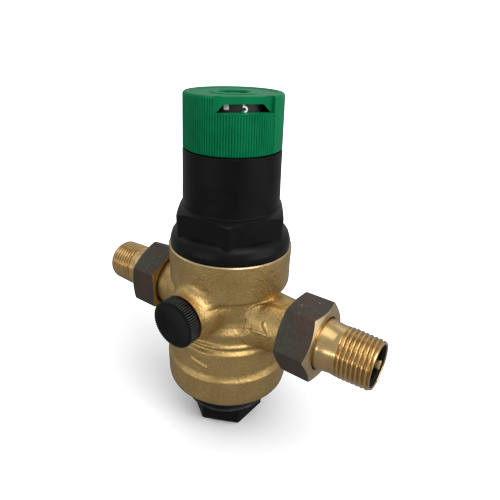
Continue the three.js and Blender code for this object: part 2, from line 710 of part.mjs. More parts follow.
function bonnetGeometry() {
  const hexagonal = hexagon(BONNET_AF, BONNET_HEX_LOW_Z, BONNET_CHAMFER_TOP_Z);
  const cornerR = BONNET_AF / Math.sqrt(3) - 0.2;
  const chamfer = solid(turned([
    [0, BONNET_HEX_LOW_Z - 1],
    [cornerR, BONNET_HEX_LOW_Z - 1],
    [cornerR, BONNET_HEX_TOP_Z],
    [BARREL_R[0] - 0.2, BONNET_CHAMFER_TOP_Z],
    [0, BONNET_CHAMFER_TOP_Z],
  ], FINE));
  const threadR = BONNET_THREAD_R - 0.4;
  const shell = turned([
    [0, SLIP_RING_Z[1] + GAP],
    [threadR, SLIP_RING_Z[1] + GAP],
    [threadR, RIM_Z + GAP],
    [FLANGE_R, RIM_Z + GAP],
    [FLANGE_R, FLANGE_TOP_Z],
    [FLANGE_R - 0.5, FLANGE_TOP_Z + 1.6],
    [cornerR - 0.1, FLANGE_TOP_Z + 3.4],
    [BONNET_AF / 2 - 0.5, FLANGE_TOP_Z + 4.4],
    [BARREL_R[0], FLANGE_TOP_Z + 5.4],
    [BARREL_R[0], BONNET_CHAMFER_TOP_Z],
    [BARREL_R[1], BARREL_TAPER_TOP_Z],
    [BARREL_R[1] - 0.1, BARREL_TOP_Z],
    [BONNET_TOP_R, BARREL_TOP_Z],
    [BONNET_TOP_R, BONNET_TOP_Z],
    [0, BONNET_TOP_Z],
  ], FINE);
  const springRoom = turned([
    [0, DIAPHRAGM_SEAT_Z],
    [SPRING_MOUTH_R, DIAPHRAGM_SEAT_Z],
    [SPRING_MOUTH_R, SPRING_MOUTH_Z[0]],
    [SPRING_BORE_R, SPRING_MOUTH_Z[1]],
    [SPRING_BORE_R, BONNET_TOP_Z - BONNET_ROOF],
    [0, BONNET_TOP_Z - BONNET_ROOF],
  ], FINE);
  const keyway = block(2 * KEYWAY_R, KEYWAY_WIDTH, ...KEYWAY_Z);
  const spindleHole = disc(SPINDLE_HOLE_R, BONNET_TOP_Z - BONNET_ROOF - 1, BONNET_TOP_Z + 1, COARSE);
  const hexBlank = solid(facing(hexagonal, BONNET_HEX_TURN)).intersect(chamfer);
  return geometryOf(cut(solid(shell).add(hexBlank), springRoom, keyway, spindleHole));
}

// ---- knob, scale and lock screw ----

// The window's tapered opening, cut through the wall in front of the scale.
function windowOpening() {
  const [low, high] = OPENING_HALF_WIDTH;
  const outline = new THREE.Shape();
  outline.moveTo(-low, WINDOW_FLOOR_Z);
  outline.lineTo(low, WINDOW_FLOOR_Z);
  outline.lineTo(high, WINDOW_FLOOR_Z + OPENING_HEIGHT);
  outline.lineTo(-high, WINDOW_FLOOR_Z + OPENING_HEIGHT);
  outline.closePath();
  const options = { depth: 3, bevelEnabled: false };
  const opening = new THREE.ExtrudeGeometry(outline, options).rotateX(Math.PI / 2);
  return facing(opening.translate(0, -OPENING_START, 0), WINDOW_TURN);
}

function knobGeometry() {
  const outer = ribbedDisc(KNOB_R, KNOB_RIB_DEPTH, KNOB_RIBS, KNOB_BOTTOM_Z, TOP_Z);
  const room = disc(KNOB_BORE_R, KNOB_BOTTOM_Z - 1, TOP_Z - KNOB_ROOF, FINE);
  const shell = cut(solid(outer), room);
  const wallMiddle = WINDOW_WALL - 0.7 + WINDOW_WALL_THICKNESS / 2;
  const slab = block(2 * WINDOW_HALF_WIDTH + 3, WINDOW_WALL_THICKNESS, WINDOW_FLOOR_Z - 1.5, TOP_Z - 1,
    0, -wallMiddle);
  const inside = disc(KNOB_BORE_R + 0.5, KNOB_BOTTOM_Z, TOP_Z - 0.5, FINE);
  const wall = solid(facing(slab, WINDOW_TURN)).intersect(solid(inside));
  const hub = disc(HUB_R, HUB_LOW_Z, TOP_Z - 1, MEDIUM);
  const pocket = block(2 * WINDOW_HALF_WIDTH, 8, WINDOW_FLOOR_Z, TOP_Z + 1, 0, -(WINDOW_WALL + 4));
  return geometryOf(cut(
    shell.add(wall).add(solid(hub)),
    facing(pocket, WINDOW_TURN),
    windowOpening(),
    disc(SCREW_RECESS_R, SCREW_RECESS_Z, TOP_Z + 1),
    disc(SCREW_HOLE_R, DRIVE_TOP_Z - 0.2, SCREW_RECESS_Z + 0.2, COARSE),
    hexagon(DRIVE_AF + 2 * GAP, HUB_LOW_Z - 1, DRIVE_TOP_Z + GAP),
  ));
}

function scaleRingGeometry() {
  const low = BONNET_TOP_Z + GAP;
  const high = TOP_Z - 2;
  return turned([
    [SCALE_HOLE_R, low],
    [SCALE_R, low],
    [SCALE_R, high],
    [SCALE_R - SCALE_WALL, high],
    [SCALE_R - SCALE_WALL, low + 1.7],
    [SCALE_HOLE_R, low + 1.7],
    [SCALE_HOLE_R, low],
  ], FINE);
}

function lockScrewGeometry() {
  const [tip, head, top] = LOCK_Z;
  const blank = turned([
    [0, tip],
    [LOCK_SHANK_R, tip],
    [LOCK_SHANK_R, head],
    [LOCK_HEAD_R - 0.2, head],
    [LOCK_HEAD_R, head + 0.4],
    [LOCK_HEAD_R - 0.4, top - 0.2],
    [0, top],
  ], COARSE);
  return geometryOf(cut(solid(blank), block(11, LOCK_SLOT_WIDTH, top - 1.2, top + 1)));
}

// ---- assembly ----

const valve = new THREE.Group();

function place(name, geometry, look, parent = valve) {
  const mesh = new THREE.Mesh(geometry, new THREE.MeshStandardMaterial(look));
  mesh.name = name;
  parent.add(mesh);
  return mesh;
}

place("body", bodyGeometry(), BRASS);

const sides = { inlet: -1, outlet: 1 };
for (const [name, side] of Object.entries(sides)) {
  const union = new THREE.Group();
  union.position.z = PIPE_Z;
  union.rotation.y = (side * Math.PI) / 2;
  valve.add(union);
  place(`${name}_washer`, washerGeometry(), FIBRE, union);
  place(`${name}_tailpiece`, tailGeometry(), BRIGHT_BRASS, union);
  place(`${name}_union_nut`, unionNutGeometry(side < 0 ? 30 : 0), DARK_BRASS, union);
}

const ports = { front: -1, rear: 1 };
for (const [name, side] of Object.entries(ports)) {
  const port = new THREE.Group();
  port.position.z = GAUGE_Z;
  port.rotation.x = (-side * Math.PI) / 2;
  valve.add(port);
  place(`${name}_gauge_plug`, gaugePlugGeometry(), BLACK_PLASTIC, port);
  place(`${name}_gauge_o_ring`, rubberRing(7.2, 0.6, GAUGE_BOSS_END - 0.6), RUBBER, port);
}

place("bottom_plug", bottomPlugGeometry(), BLACK_PLASTIC);
place("bottom_plug_o_ring", rubberRing(21.3, 0.7, BOWL_BOTTOM_Z + 0.8, MEDIUM), RUBBER);
place("filter_frame", filterFrameGeometry(), WHITE_PLASTIC);
place("filter_mesh", filterMeshGeometry(), STEEL);

place("valve_insert", insertGeometry(), WHITE_PLASTIC);
place("insert_upper_o_ring", rubberRing(12.3, 0.6, 73.5, MEDIUM), RUBBER);
place("insert_lower_o_ring", rubberRing(12.3, 0.6, 53.5, MEDIUM), RUBBER);

place("valve_stem", stemGeometry(), BRIGHT_BRASS);
place("seal_nut", smallNutGeometry(SEAL_NUT_Z), STEEL);
place("seal_carrier", ring(STEM_HOLE_R, SEAL_CARRIER_R, ...SEAL_CARRIER_Z, COARSE), STEEL);
place("valve_seal", ring(STEM_HOLE_R, SEAL_R, ...SEAL_Z, COARSE), RUBBER);
place("piston_o_ring", rubberRing(5.8, 0.65, 71.1), RUBBER);
place("diaphragm_lower_plate", lowerPlateGeometry(), BRIGHT_BRASS);
place("diaphragm", diaphragmGeometry(), RUBBER);
place("spring_cup", springCupGeometry(), STEEL);
place("stem_nut", smallNutGeometry(STEM_NUT_Z), STEEL);

place("slip_ring", ring(SLIP_RING_HOLE_R, BONNET_THREAD_R - 0.5, ...SLIP_RING_Z, FINE), WHITE_PLASTIC);
place("spring_bonnet", bonnetGeometry(), BLACK_PLASTIC);
place("adjusting_spring", springGeometry(), STEEL);
place("spring_nut", springNutGeometry(), BRIGHT_BRASS);
place("adjusting_spindle", spindleGeometry(), BRIGHT_BRASS);
place("scale_ring", scaleRingGeometry(), BLACK_PLASTIC);
place("adjusting_knob", knobGeometry(), GREEN_PLASTIC);
place("lock_screw", lockScrewGeometry(), GREEN_PLASTIC);

export default valve;
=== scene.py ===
"""Looks of a water pressure regulator: a DN 15 diaphragm reducing valve with a scale knob.

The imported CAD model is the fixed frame. Lengths are millimetres until piece() turns them into metres;
only the floor, the lights and the camera's clipping are given in metres. Azimuths are in degrees from
-Y (the front) towards +X (the outlet).
"""

import json
import math

import bmesh
import bpy
import numpy as np
from mathutils import Matrix, Vector, noise


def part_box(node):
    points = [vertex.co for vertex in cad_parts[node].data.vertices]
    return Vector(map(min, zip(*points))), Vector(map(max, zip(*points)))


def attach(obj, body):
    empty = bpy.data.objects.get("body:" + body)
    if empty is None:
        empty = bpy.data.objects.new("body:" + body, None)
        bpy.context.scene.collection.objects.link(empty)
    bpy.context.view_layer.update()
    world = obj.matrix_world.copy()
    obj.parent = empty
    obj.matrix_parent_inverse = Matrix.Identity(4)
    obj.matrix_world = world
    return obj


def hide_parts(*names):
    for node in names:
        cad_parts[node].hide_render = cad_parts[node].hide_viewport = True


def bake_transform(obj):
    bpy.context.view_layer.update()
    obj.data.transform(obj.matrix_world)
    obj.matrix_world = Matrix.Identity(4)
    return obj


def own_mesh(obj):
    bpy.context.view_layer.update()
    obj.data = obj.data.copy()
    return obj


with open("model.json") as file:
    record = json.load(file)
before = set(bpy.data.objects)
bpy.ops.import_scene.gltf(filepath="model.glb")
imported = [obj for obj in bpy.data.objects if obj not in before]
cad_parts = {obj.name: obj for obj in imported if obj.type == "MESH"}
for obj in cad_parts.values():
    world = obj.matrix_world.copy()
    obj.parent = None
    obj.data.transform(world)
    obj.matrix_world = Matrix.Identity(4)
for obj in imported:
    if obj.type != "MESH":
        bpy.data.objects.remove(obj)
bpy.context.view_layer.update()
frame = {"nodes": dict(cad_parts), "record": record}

MM = 0.001


def extent(node):
    """Lowest and highest corner of a CAD node in millimetres."""
    low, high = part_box(node)
    return np.array(low) / MM, np.array(high) / MM


# ---- dimensions from the frame ----
body_low, body_high = extent("body")
nut_low, nut_high = extent("outlet_union_nut")
tail_low, tail_high = extent("outlet_tailpiece")
cap_low, cap_high = extent("rear_gauge_plug")
_, foot_high = extent("bottom_plug")
bonnet_low, bonnet_high = extent("spring_bonnet")
knob_low, knob_high = extent("adjusting_knob")
scale_low, scale_high = extent("scale_ring")
screw_low, screw_high = extent("lock_screw")

PIPE_Z = (nut_low[2] + nut_high[2]) / 2
GAUGE_Z = (cap_low[2] + cap_high[2]) / 2
PORT_END = body_high[0]
BOSS_END = body_high[1]
RIM_Z = body_high[2]
BOWL_Z = body_low[2]
NUT_START, NUT_END = nut_low[0], nut_high[0]
NUT_AF = nut_high[2] - nut_low[2]
TAIL_START, TAIL_END = tail_low[0], tail_high[0]
CAP_R = (cap_high[2] - cap_low[2]) / 2
CAP_END = cap_high[1]
FOOT_R = foot_high[0]
FLANGE_R = bonnet_high[0]
BONNET_LOW_Z, BONNET_HIGH_Z = bonnet_low[2], bonnet_high[2]
KNOB_R = knob_high[0]
KNOB_LOW_Z, KNOB_HIGH_Z = knob_low[2], knob_high[2]
SCALE_R = scale_high[0]
SCALE_LOW_Z, SCALE_HIGH_Z = scale_low[2], scale_high[2]

# ---- dimensions the boxes don't give; ribs, threads and lugs differ a little from the CAD's ----
DRUM_R = 26.5
BOWL_R = 28.4
NECK_R = 21.4
BRANCH_R = 12.4
BOSS_R = 10.5
BONNET_THREAD_R = 23.6
INLET_CHAMBER_R = 20.5
INLET_CHAMBER_TOP_Z = 51
INSERT_BORE_R = 13
INSERT_RELIEF_R = 14.8
STEM_ROOM_Z = (76, 82)  # floor of the stem's room and the ledge that the diaphragm lies on
PASSAGE_R = 8
GAUGE_BORE_R = (2.5, 5.9, 8.4)  # pressure hole, plug thread and seal recess
PORT_THREAD_R = 13.1
CLEAR_R = 45  # a tool's reach, clear of the drum and the bowl
TAIL_BORE_R = 7.5
TAIL_COLLAR_R = 12.6
TAIL_NECK_R = 10.9
THREAD_R = 10.4
THREAD_START = 56
THREAD_PITCH = 1.814
THREAD_DEPTH = 1.0
LUG_TURN = 32  # of the driving lugs from the horizontal
LUG_HALF_WIDTH = 1.9
LUG_REACH = 2.6
NUT_LIP_START = 43.7
NUT_LIP_R = 11.3
NUT_BORE_R = 13.4
NUT_FACE_R = (14.5, 14.2)  # at the body side and at the free side
NUT_CHAMFER = (0.8, 1.7)
BONNET_AF = 42.8
BONNET_HEX_TURN = 34.2
BONNET_HEX_TOP_Z = 109.2
BARREL_R = (20.2, 19.8)
BARREL_TOP_Z = 134.8
BONNET_WALL_R = (16.2, 19.8)  # inside the barrel and inside the skirt
BONNET_HOLE_R = 6.5
KEYWAY_HALF_WIDTH = 2.5  # the two grooves that keep the spring nut from turning
KEYWAY_R = 17.9
KEYWAY_Z = (104, 134)
WINDOW_TURN = 50.7
WINDOW_HALF_WIDTH = 11
WINDOW_WALL = 14.8
WINDOW_FLOOR_Z = 150.4
KNOB_INNER_R = 17.2
KNOB_HUB_R = 8.5
KNOB_HUB_LOW_Z = 141.0
KNOB_ROOF_Z = 154.6
SCREW_SEAT_Z = 152.8
SCREW_WELL_R = 6.0
DIAPHRAGM_HOLE_R = 2.7
DIAPHRAGM_Z = (82.15, 83.55)
FOLD_R = (15, 19)
FOLD_DEPTH = 0.8
SPRING_R = 10.8
SPRING_WIRE_R = 1.6
SPRING_TURNS = 6
SPRING_Z = (86.4, 115.8)
SPRING_SPLIT = (0.4995, 0.5005)  # shares of the wire between which its two halves are parted
PLUG_EDGE_R = 20.2
PLUG_EDGE_Z = 14.6
PLUG_HEX_AF = 31
PLUG_HEX_LOW_Z = 4.3
PLUG_FACE_AF = 21
PLUG_HEX_TURN = 56.3
PLUG_RIBS = 64
PLUG_RIB_DEPTH = 0.5
KNOB_RIBS = 118
KNOB_RIB_DEPTH = 0.36
KNOB_DRAFT = 0.3
SMOOTH_SPAN = (87, 121)  # azimuths between which the knob has no ribs


# ---- meshes, in millimetres ----

def linked(name, data):
    """An object with that data, in the scene."""
    made = bpy.data.objects.new(name, data)
    bpy.context.scene.collection.objects.link(made)
    return made


def smoothstep(share):
    return share * share * (3 - 2 * share)


def mesh_from(name, points, faces):
    mesh = bpy.data.meshes.new(name)
    mesh.from_pydata(np.asarray(points).tolist(), [], np.asarray(faces).tolist())
    return mesh


def welded(mesh, distance=1e-4):
    """Joins vertices that coincide, such as those of a pole on the axis."""
    work = bmesh.new()
    work.from_mesh(mesh)
    bmesh.ops.remove_doubles(work, verts=work.verts, dist=distance)
    bmesh.ops.dissolve_degenerate(work, edges=work.edges, dist=distance / 2)
    work.to_mesh(mesh)
    work.free()
    return mesh


def lofted(columns, closed):
    """A surface through columns of points that go once round an axis."""
    count, length, _ = columns.shape
    i = np.arange(count)[:, None]
    j = np.arange(length if closed else length - 1)[None, :]
    following = (i + 1) % count * length
    above = (j + 1) % length
    corners = [i * length + j, following + j, following + above, i * length + above]
    faces = np.stack(corners, -1).reshape(-1, 4)
    return welded(mesh_from("loft", columns.reshape(-1, 3), faces))


def azimuths(count):
    return np.arange(count) * (2 * math.pi / count)


def columns_of(radii, heights, angles):
    """Points at radii and heights, both [column, point], at each column's azimuth."""
    angles = angles[:, None]
    x = radii * np.sin(angles)
    y = -radii * np.cos(angles)
    return np.stack([x, y, np.broadcast_to(heights, radii.shape)], -1)


def turned(outline, count=128, closed=False):
    """A turned solid about Z from its [radius, height] outline, which runs up on the outside."""
    outline = np.array(outline, float)
    angles = azimuths(count)
    radii = np.broadcast_to(outline[:, 0], (count, len(outline)))
    return lofted(columns_of(radii, outline[:, 1], angles), closed)


def ringed(rings, angles, closed):
    """A surface from (radius, height) rings, where either may be one value or one for each azimuth."""
    shape = (len(angles), 1)
    radii = np.hstack([np.broadcast_to(radius, shape) for radius, _ in rings])
    heights = np.hstack([np.broadcast_to(height, shape) for _, height in rings])
    return lofted(columns_of(radii, heights, angles), closed)


def ribbed_radius(angles, radius, ribs, depth):
    """A radius with rounded ribs all round."""
    wave = 0.5 + 0.5 * np.cos(angles * ribs)
    return radius - depth * (1 - np.sqrt(wave))


def hexagon_radius(angles, across_flats, turn, easing=0.25):
    """Distance from the axis to a hexagon's side; turn is the azimuth of one corner."""
    sector = math.pi / 3
    inner = (angles - math.radians(turn)) % sector - sector / 2
    apothem = across_flats / 2
    sharp = apothem / np.cos(inner)
    corner = apothem / math.cos(sector / 2)
    return np.minimum(sharp, corner - easing + 0.3 * (corner - sharp))


def hexagonal_azimuths(turn, per_side=24):
    """Azimuths that crowd towards the corners of a hexagon."""
    share = (np.arange(per_side) + 0.5) / per_side
    share = share - np.sin(2 * math.pi * share) / (2 * math.pi) * 0.8
    starts = np.arange(6)[:, None] * (math.pi / 3)
    return np.sort((starts + share * (math.pi / 3)).ravel()) + math.radians(turn)


def prism(outline, low, high):
    """A straight solid from a flat outline of [x, y] points that runs anticlockwise."""
    count = len(outline)
    base = [(x, y, low) for x, y in outline]
    top = [(x, y, high) for x, y in outline]
    sides = [[i, (i + 1) % count, (i + 1) % count + count, i + count] for i in range(count)]
    ends = [list(range(count))[::-1], list(range(count, 2 * count))]
    mesh = bpy.data.meshes.new("prism")
    mesh.from_pydata(base + top, [], sides + ends)
    return mesh


def block(low, high):
    (x0, y0, z0), (x1, y1, z1) = low, high
    return prism([(x0, y0), (x1, y0), (x1, y1), (x0, y1)], z0, z1)


def moved(mesh, matrix):
    mesh.transform(matrix)
    return mesh


def facing(mesh, azimuth):
    return moved(mesh, Matrix.Rotation(math.radians(azimuth), 4, "Z"))


def along_pipe(mesh, side):
    matrix = Matrix.Translation((0, 0, PIPE_Z)) @ Matrix.Rotation(side * math.pi / 2, 4, "Y")
    return moved(mesh, matrix)


def along_gauge(mesh, side):
    matrix = Matrix.Translation((0, 0, GAUGE_Z)) @ Matrix.Rotation(-side * math.pi / 2, 4, "X")
    return moved(mesh, matrix)


def evaluated(mesh, add_modifiers):
    """The mesh with modifiers applied."""
    carrier = linked("carrier", mesh)
    add_modifiers(carrier)
    graph = bpy.context.evaluated_depsgraph_get()
    result = bpy.data.meshes.new_from_object(carrier.evaluated_get(graph), depsgraph=graph)
    bpy.data.objects.remove(carrier)
    return result


def combined(mesh, operation, tools):
    """The solid after each tool is joined to it, cut from it or intersected with it."""
    for tool in tools:
        helper = linked("tool", tool)

        def add(carrier):
            boolean = carrier.modifiers.new("boolean", "BOOLEAN")
            boolean.operation = operation
            boolean.solver = "MANIFOLD"
            boolean.object = helper

        mesh = evaluated(mesh, add)
        bpy.data.objects.remove(helper)
    return mesh


def eased(mesh, width, segments=2, angle=28):
    """The solid with its sharp edges rounded off."""

    def add(carrier):
        bevel = carrier.modifiers.new("bevel", "BEVEL")
        bevel.width = width
        bevel.segments = segments
        bevel.limit_method = "ANGLE"
        bevel.angle_limit = math.radians(angle)

    return evaluated(mesh, add)


def vertices_of(mesh):
    points = np.empty(len(mesh.vertices) * 3, np.float32)
    mesh.vertices.foreach_get("co", points)
    return points.reshape(-1, 3).astype(float)


def place_vertices(mesh, points):
    mesh.vertices.foreach_set("co", points.astype(np.float32).ravel())
    mesh.update()


def joined(name, meshes):
    """Several meshes as one, without merging them."""
    work = bmesh.new()
    for mesh in meshes:
        work.from_mesh(mesh)
    whole = bpy.data.meshes.new(name)
    work.to_mesh(whole)
    work.free()
    return whole


def face_data(mesh):
    """X, Y, Z and distance from the axis of each face's centre, and Z of its normal."""
    centres = np.empty(len(mesh.polygons) * 3, np.float32)
    normals = np.empty(len(mesh.polygons) * 3, np.float32)
    mesh.polygons.foreach_get("center", centres)
    mesh.polygons.foreach_get("normal", normals)
    x, y, z = centres.reshape(-1, 3).T
    return x, y, z, np.hypot(x, y), normals[2::3]


def paint(mesh, materials, indices=None):
    """Gives the mesh its materials, and each face its index where there are several."""
    mesh.materials.clear()
    for material in materials:
        mesh.materials.append(material)
    if indices is None:
        indices = np.zeros(len(mesh.polygons))
    mesh.polygons.foreach_set("material_index", indices.astype(np.int32))


def piece(name, mesh, body, stands_for=(), smooth=32, flat_weight=False):
    """Turns a finished mesh into a named piece, which rides on a CAD body unless that is None."""
    mesh.name = name
    mesh.transform(Matrix.Scale(MM, 4))
    mesh.shade_smooth()
    mesh.set_sharp_from_angle(angle=math.radians(smooth))
    made = linked(name, mesh)
    if flat_weight:
        weighted = made.modifiers.new("flat faces", "WEIGHTED_NORMAL")
        weighted.keep_sharp = True
    if body is not None:
        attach(made, body)
    if stands_for:
        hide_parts(*stands_for)
    return made


# ---- materials ----

class Shader:
    """A node material built round one Principled shader."""

    def __init__(self, name, base, roughness, metallic=0.0, specular=0.5):
        self.material = bpy.data.materials.new(name)
        self.material.use_nodes = True
        self.material.diffuse_color = (*base, 1)
        self.nodes = self.material.node_tree.nodes
        self.links = self.material.node_tree.links
        self.surface = self.nodes["Principled BSDF"]
        self.surface.inputs["Base Color"].default_value = (*base, 1)
        self.surface.inputs["Roughness"].default_value = roughness
        self.surface.inputs["Metallic"].default_value = metallic
        self.surface.inputs["Specular IOR Level"].default_value = specular
        self.place = self.nodes.new("ShaderNodeTexCoord").outputs["Object"]

    def stretched(self, scale):
        mapping = self.nodes.new("ShaderNodeMapping")
        mapping.inputs["Scale"].default_value = scale
        self.links.new(self.place, mapping.inputs["Vector"])
        return mapping.outputs["Vector"]

    def noise(self, size, detail=3, place=None, sharpness=0.5):
        """Noise whose lumps measure about size millimetres."""
        texture = self.nodes.new("ShaderNodeTexNoise")
        texture.inputs["Scale"].default_value = 1 / (size * MM)
        texture.inputs["Detail"].default_value = detail
        texture.inputs["Roughness"].default_value = sharpness
        self.links.new(place or self.place, texture.inputs["Vector"])
        return texture.outputs["Fac"]

    def ramp(self, value, *stops):
        """A colour ramp from (position, colour) stops; a number is a grey."""
        ramp = self.nodes.new("ShaderNodeValToRGB")
        elements = ramp.color_ramp.elements
        while len(elements) < len(stops):
            elements.new(0.5)
        for element, (position, colour) in zip(elements, stops):
            element.position = position
            element.color = (*colour, 1) if isinstance(colour, tuple) else (colour,) * 3 + (1,)
        self.links.new(value, ramp.inputs["Fac"])
        return ramp.outputs["Color"]

    def mix(self, kind, amount, first, second):
        mix = self.nodes.new("ShaderNodeMix")
        mix.data_type = "RGBA"
        mix.blend_type = kind
        inputs = ((mix.inputs[0], amount), (mix.inputs[6], first), (mix.inputs[7], second))
        for socket, value in inputs:
            if isinstance(value, bpy.types.NodeSocket):
                self.links.new(value, socket)
            elif isinstance(value, tuple):
                socket.default_value = (*value, 1)
            else:
                socket.default_value = value
        return mix.outputs[2]

    def colour(self, value):
        self.links.new(value, self.surface.inputs["Base Color"])

    def mottled(self, size, detail, dark, light, stops=(0.3, 0.7)):
        """Colours the surface in patches of about size millimetres."""
        self.colour(self.ramp(self.noise(size, detail), (stops[0], dark), (stops[1], light)))

    def roughness(self, value, low, high):
        spread = self.nodes.new("ShaderNodeMapRange")
        spread.inputs["To Min"].default_value = low
        spread.inputs["To Max"].default_value = high
        self.links.new(value, spread.inputs["Value"])
        self.links.new(spread.outputs["Result"], self.surface.inputs["Roughness"])

    def bump(self, value, depth, strength=1.0):
        """A bump of that depth in millimetres, on top of an earlier one."""
        bump = self.nodes.new("ShaderNodeBump")
        bump.inputs["Distance"].default_value = depth * MM
        bump.inputs["Strength"].default_value = strength
        self.links.new(value, bump.inputs["Height"])
        normal = self.surface.inputs["Normal"]
        if normal.is_linked:
            self.links.new(normal.links[0].from_socket, bump.inputs["Normal"])
        self.links.new(bump.outputs["Normal"], normal)


def cast_brass():
    """Sand-cast and blasted: satin, blotchy, with a fine grain."""
    look = Shader("cast_brass", (0.52, 0.35, 0.138), 0.5, metallic=1.0)
    blotches = look.ramp(look.noise(9, 4), (0.3, (0.530, 0.355, 0.134)), (0.7, (0.620, 0.428, 0.174)))
    grain = look.ramp(look.noise(0.6, 2), (0.3, 0.72), (0.75, 1.12))
    look.colour(look.mix("MULTIPLY", 1.0, blotches, grain))
    look.roughness(look.noise(3, 3), 0.36, 0.49)
    look.bump(look.noise(0.9, 2), 0.17, 0.9)
    look.bump(look.noise(2.6, 2), 0.20, 0.7)
    return look.material


def turned_brass():
    """Freshly turned: glossy, with tool rings across the axis."""
    look = Shader("turned_brass", (0.60, 0.41, 0.18), 0.2, metallic=1.0)
    look.mottled(7, 3, (0.54, 0.36, 0.15), (0.66, 0.46, 0.21))
    look.roughness(look.noise(2.5, 3), 0.19, 0.30)
    rings = look.noise(1, 3, look.stretched((6, 0.15, 0.15)))
    look.bump(rings, 0.015, 0.5)
    return look.material


def faced_brass():
    """Turned end faces and chamfers of the nuts and the casting: pale and satin."""
    look = Shader("faced_brass", (0.66, 0.52, 0.32), 0.36, metallic=1.0)
    look.mottled(5, 3, (0.46, 0.34, 0.18), (0.62, 0.48, 0.28))
    look.roughness(look.noise(1.2, 3), 0.30, 0.44)
    look.bump(look.noise(0.4, 2), 0.02, 0.5)
    return look.material


# Near-black brass: painted shade in bores, in recesses and on parts inside the nuts.
def painted_shade_brass():
    look = Shader("painted_shade_brass", (0.007, 0.005, 0.003), 0.6, specular=0.1)
    look.mottled(2, 3, (0.004, 0.003, 0.002), (0.010, 0.007, 0.004))
    return look.material


def nut_skin():
    """The dark scale left on the flats of a forged nut, with small bright chips in groups."""
    look = Shader("nut_skin", (0.07, 0.058, 0.045), 0.5, metallic=0.5)
    tint = look.ramp(look.noise(14, 2), (0.38, (0.062, 0.060, 0.046)), (0.5, (0.066, 0.052, 0.039)),
                     (0.62, (0.088, 0.053, 0.042)))
    patches = look.ramp(look.noise(1.8, 3), (0.3, 0.82), (0.7, 1.12))
    base = look.mix("MULTIPLY", 1.0, tint, patches)
    chips = look.ramp(look.noise(0.9, 1), (0.71, 0.0), (0.75, 1.0))
    groups = look.ramp(look.noise(6, 1), (0.52, 0.0), (0.60, 1.0))
    look.colour(look.mix("MIX", look.mix("MULTIPLY", 1.0, chips, groups), base, (0.38, 0.31, 0.21)))
    look.surface.inputs["Specular IOR Level"].default_value = 0.3
    look.roughness(look.noise(2, 3), 0.42, 0.58)
    look.bump(look.noise(0.6, 3), 0.04, 0.6)
    return look.material


def black_plastic():
    look = Shader("black_plastic", (0.004, 0.004, 0.004), 0.36, specular=0.13)
    look.mottled(6, 4, 0.0022, 0.0055, stops=(0.3, 0.75))
    look.roughness(look.noise(4, 4), 0.30, 0.46)
    look.bump(look.noise(0.35, 2), 0.02, 0.6)
    return look.material


def painted_highlight_black():
    """A lighter black for painted highlights on rib crests and moulded edges."""
    look = Shader("painted_highlight_black", (0.020, 0.020, 0.020), 0.45, specular=0.3)
    look.mottled(3, 3, (0.006, 0.006, 0.006), (0.034, 0.034, 0.033), stops=(0.35, 0.65))
    return look.material


def green_plastic():
    look = Shader("green_plastic", (0.001, 0.17, 0.062), 0.42, specular=0.08)
    look.mottled(5, 4, (0.0006, 0.150, 0.054), (0.0014, 0.190, 0.070))
    look.roughness(look.noise(3, 4), 0.38, 0.54)
    look.bump(look.noise(0.5, 3), 0.03, 0.6)
    return look.material


def shaded_green():
    """Painted shade for the valleys between the knob's ribs."""
    look = Shader("shaded_green", (0.001, 0.105, 0.040), 0.5, specular=0.05)
    look.mottled(5, 4, (0.0006, 0.092, 0.034), (0.0014, 0.120, 0.046))
    return look.material


def scale_black():
    look = Shader("scale_black", (0.010, 0.010, 0.010), 0.5)
    look.roughness(look.noise(1, 2), 0.45, 0.6)
    look.bump(look.noise(0.3, 2), 0.01, 0.5)
    return look.material


def scale_print():
    look = Shader("scale_print", (0.85, 0.85, 0.83), 0.5)
    look.mottled(0.6, 2, (0.92, 0.92, 0.91), (0.97, 0.97, 0.96))
    return look.material


def natural_plastic():
    look = Shader("natural_plastic", (0.78, 0.74, 0.62), 0.4)
    look.mottled(6, 3, (0.74, 0.70, 0.58), (0.82, 0.79, 0.68))
    look.surface.inputs["Subsurface Weight"].default_value = 0.1
    look.roughness(look.noise(2, 3), 0.34, 0.48)
    return look.material


def rubber():
    look = Shader("rubber", (0.014, 0.014, 0.014), 0.75)
    look.mottled(2, 3, (0.010, 0.010, 0.010), (0.020, 0.020, 0.019))
    look.bump(look.noise(0.4, 3), 0.03, 0.6)
    return look.material


def steel():
    look = Shader("steel", (0.55, 0.56, 0.57), 0.3, metallic=1.0)
    look.mottled(4, 3, (0.48, 0.49, 0.50), (0.60, 0.61, 0.62))
    look.roughness(look.noise(0.8, 3), 0.24, 0.4)
    look.bump(look.noise(0.4, 2), 0.01, 0.5)
    return look.material


def fibre():
    look = Shader("fibre", (0.30, 0.11, 0.06), 0.85)
    look.mottled(0.7, 4, (0.24, 0.08, 0.04), (0.36, 0.15, 0.09))
    look.bump(look.noise(0.3, 3), 0.04, 0.8)
    return look.material


CAST_BRASS = cast_brass()
TURNED_BRASS = turned_brass()
FACED_BRASS = faced_brass()
PAINTED_SHADE_BRASS = painted_shade_brass()
NUT_SKIN = nut_skin()
BLACK_PLASTIC = black_plastic()
PAINTED_HIGHLIGHT_BLACK = painted_highlight_black()
GREEN_PLASTIC = green_plastic()
SHADED_GREEN = shaded_green()
SCALE_BLACK = scale_black()
SCALE_PRINT = scale_print()
FINISHES = {
    "cast_brass": CAST_BRASS,
    "machined_brass": TURNED_BRASS,
    "nut_brass": NUT_SKIN,
    "black_plastic": BLACK_PLASTIC,
    "green_plastic": GREEN_PLASTIC,
    "scale_black": SCALE_BLACK,
    "natural_plastic": natural_plastic(),
    "rubber": rubber(),
    "steel": steel(),
    "fibre": fibre(),
}


# ---- cast body ----

FILLET = 2.6  # how far the two kinds of arm flow into each other
ROOT_FILLET = 3.6  # how far an arm flows into the barrel
GRID = 0.45
OVERRUN = 1.6  # how far the raw casting stands past a face that is machined


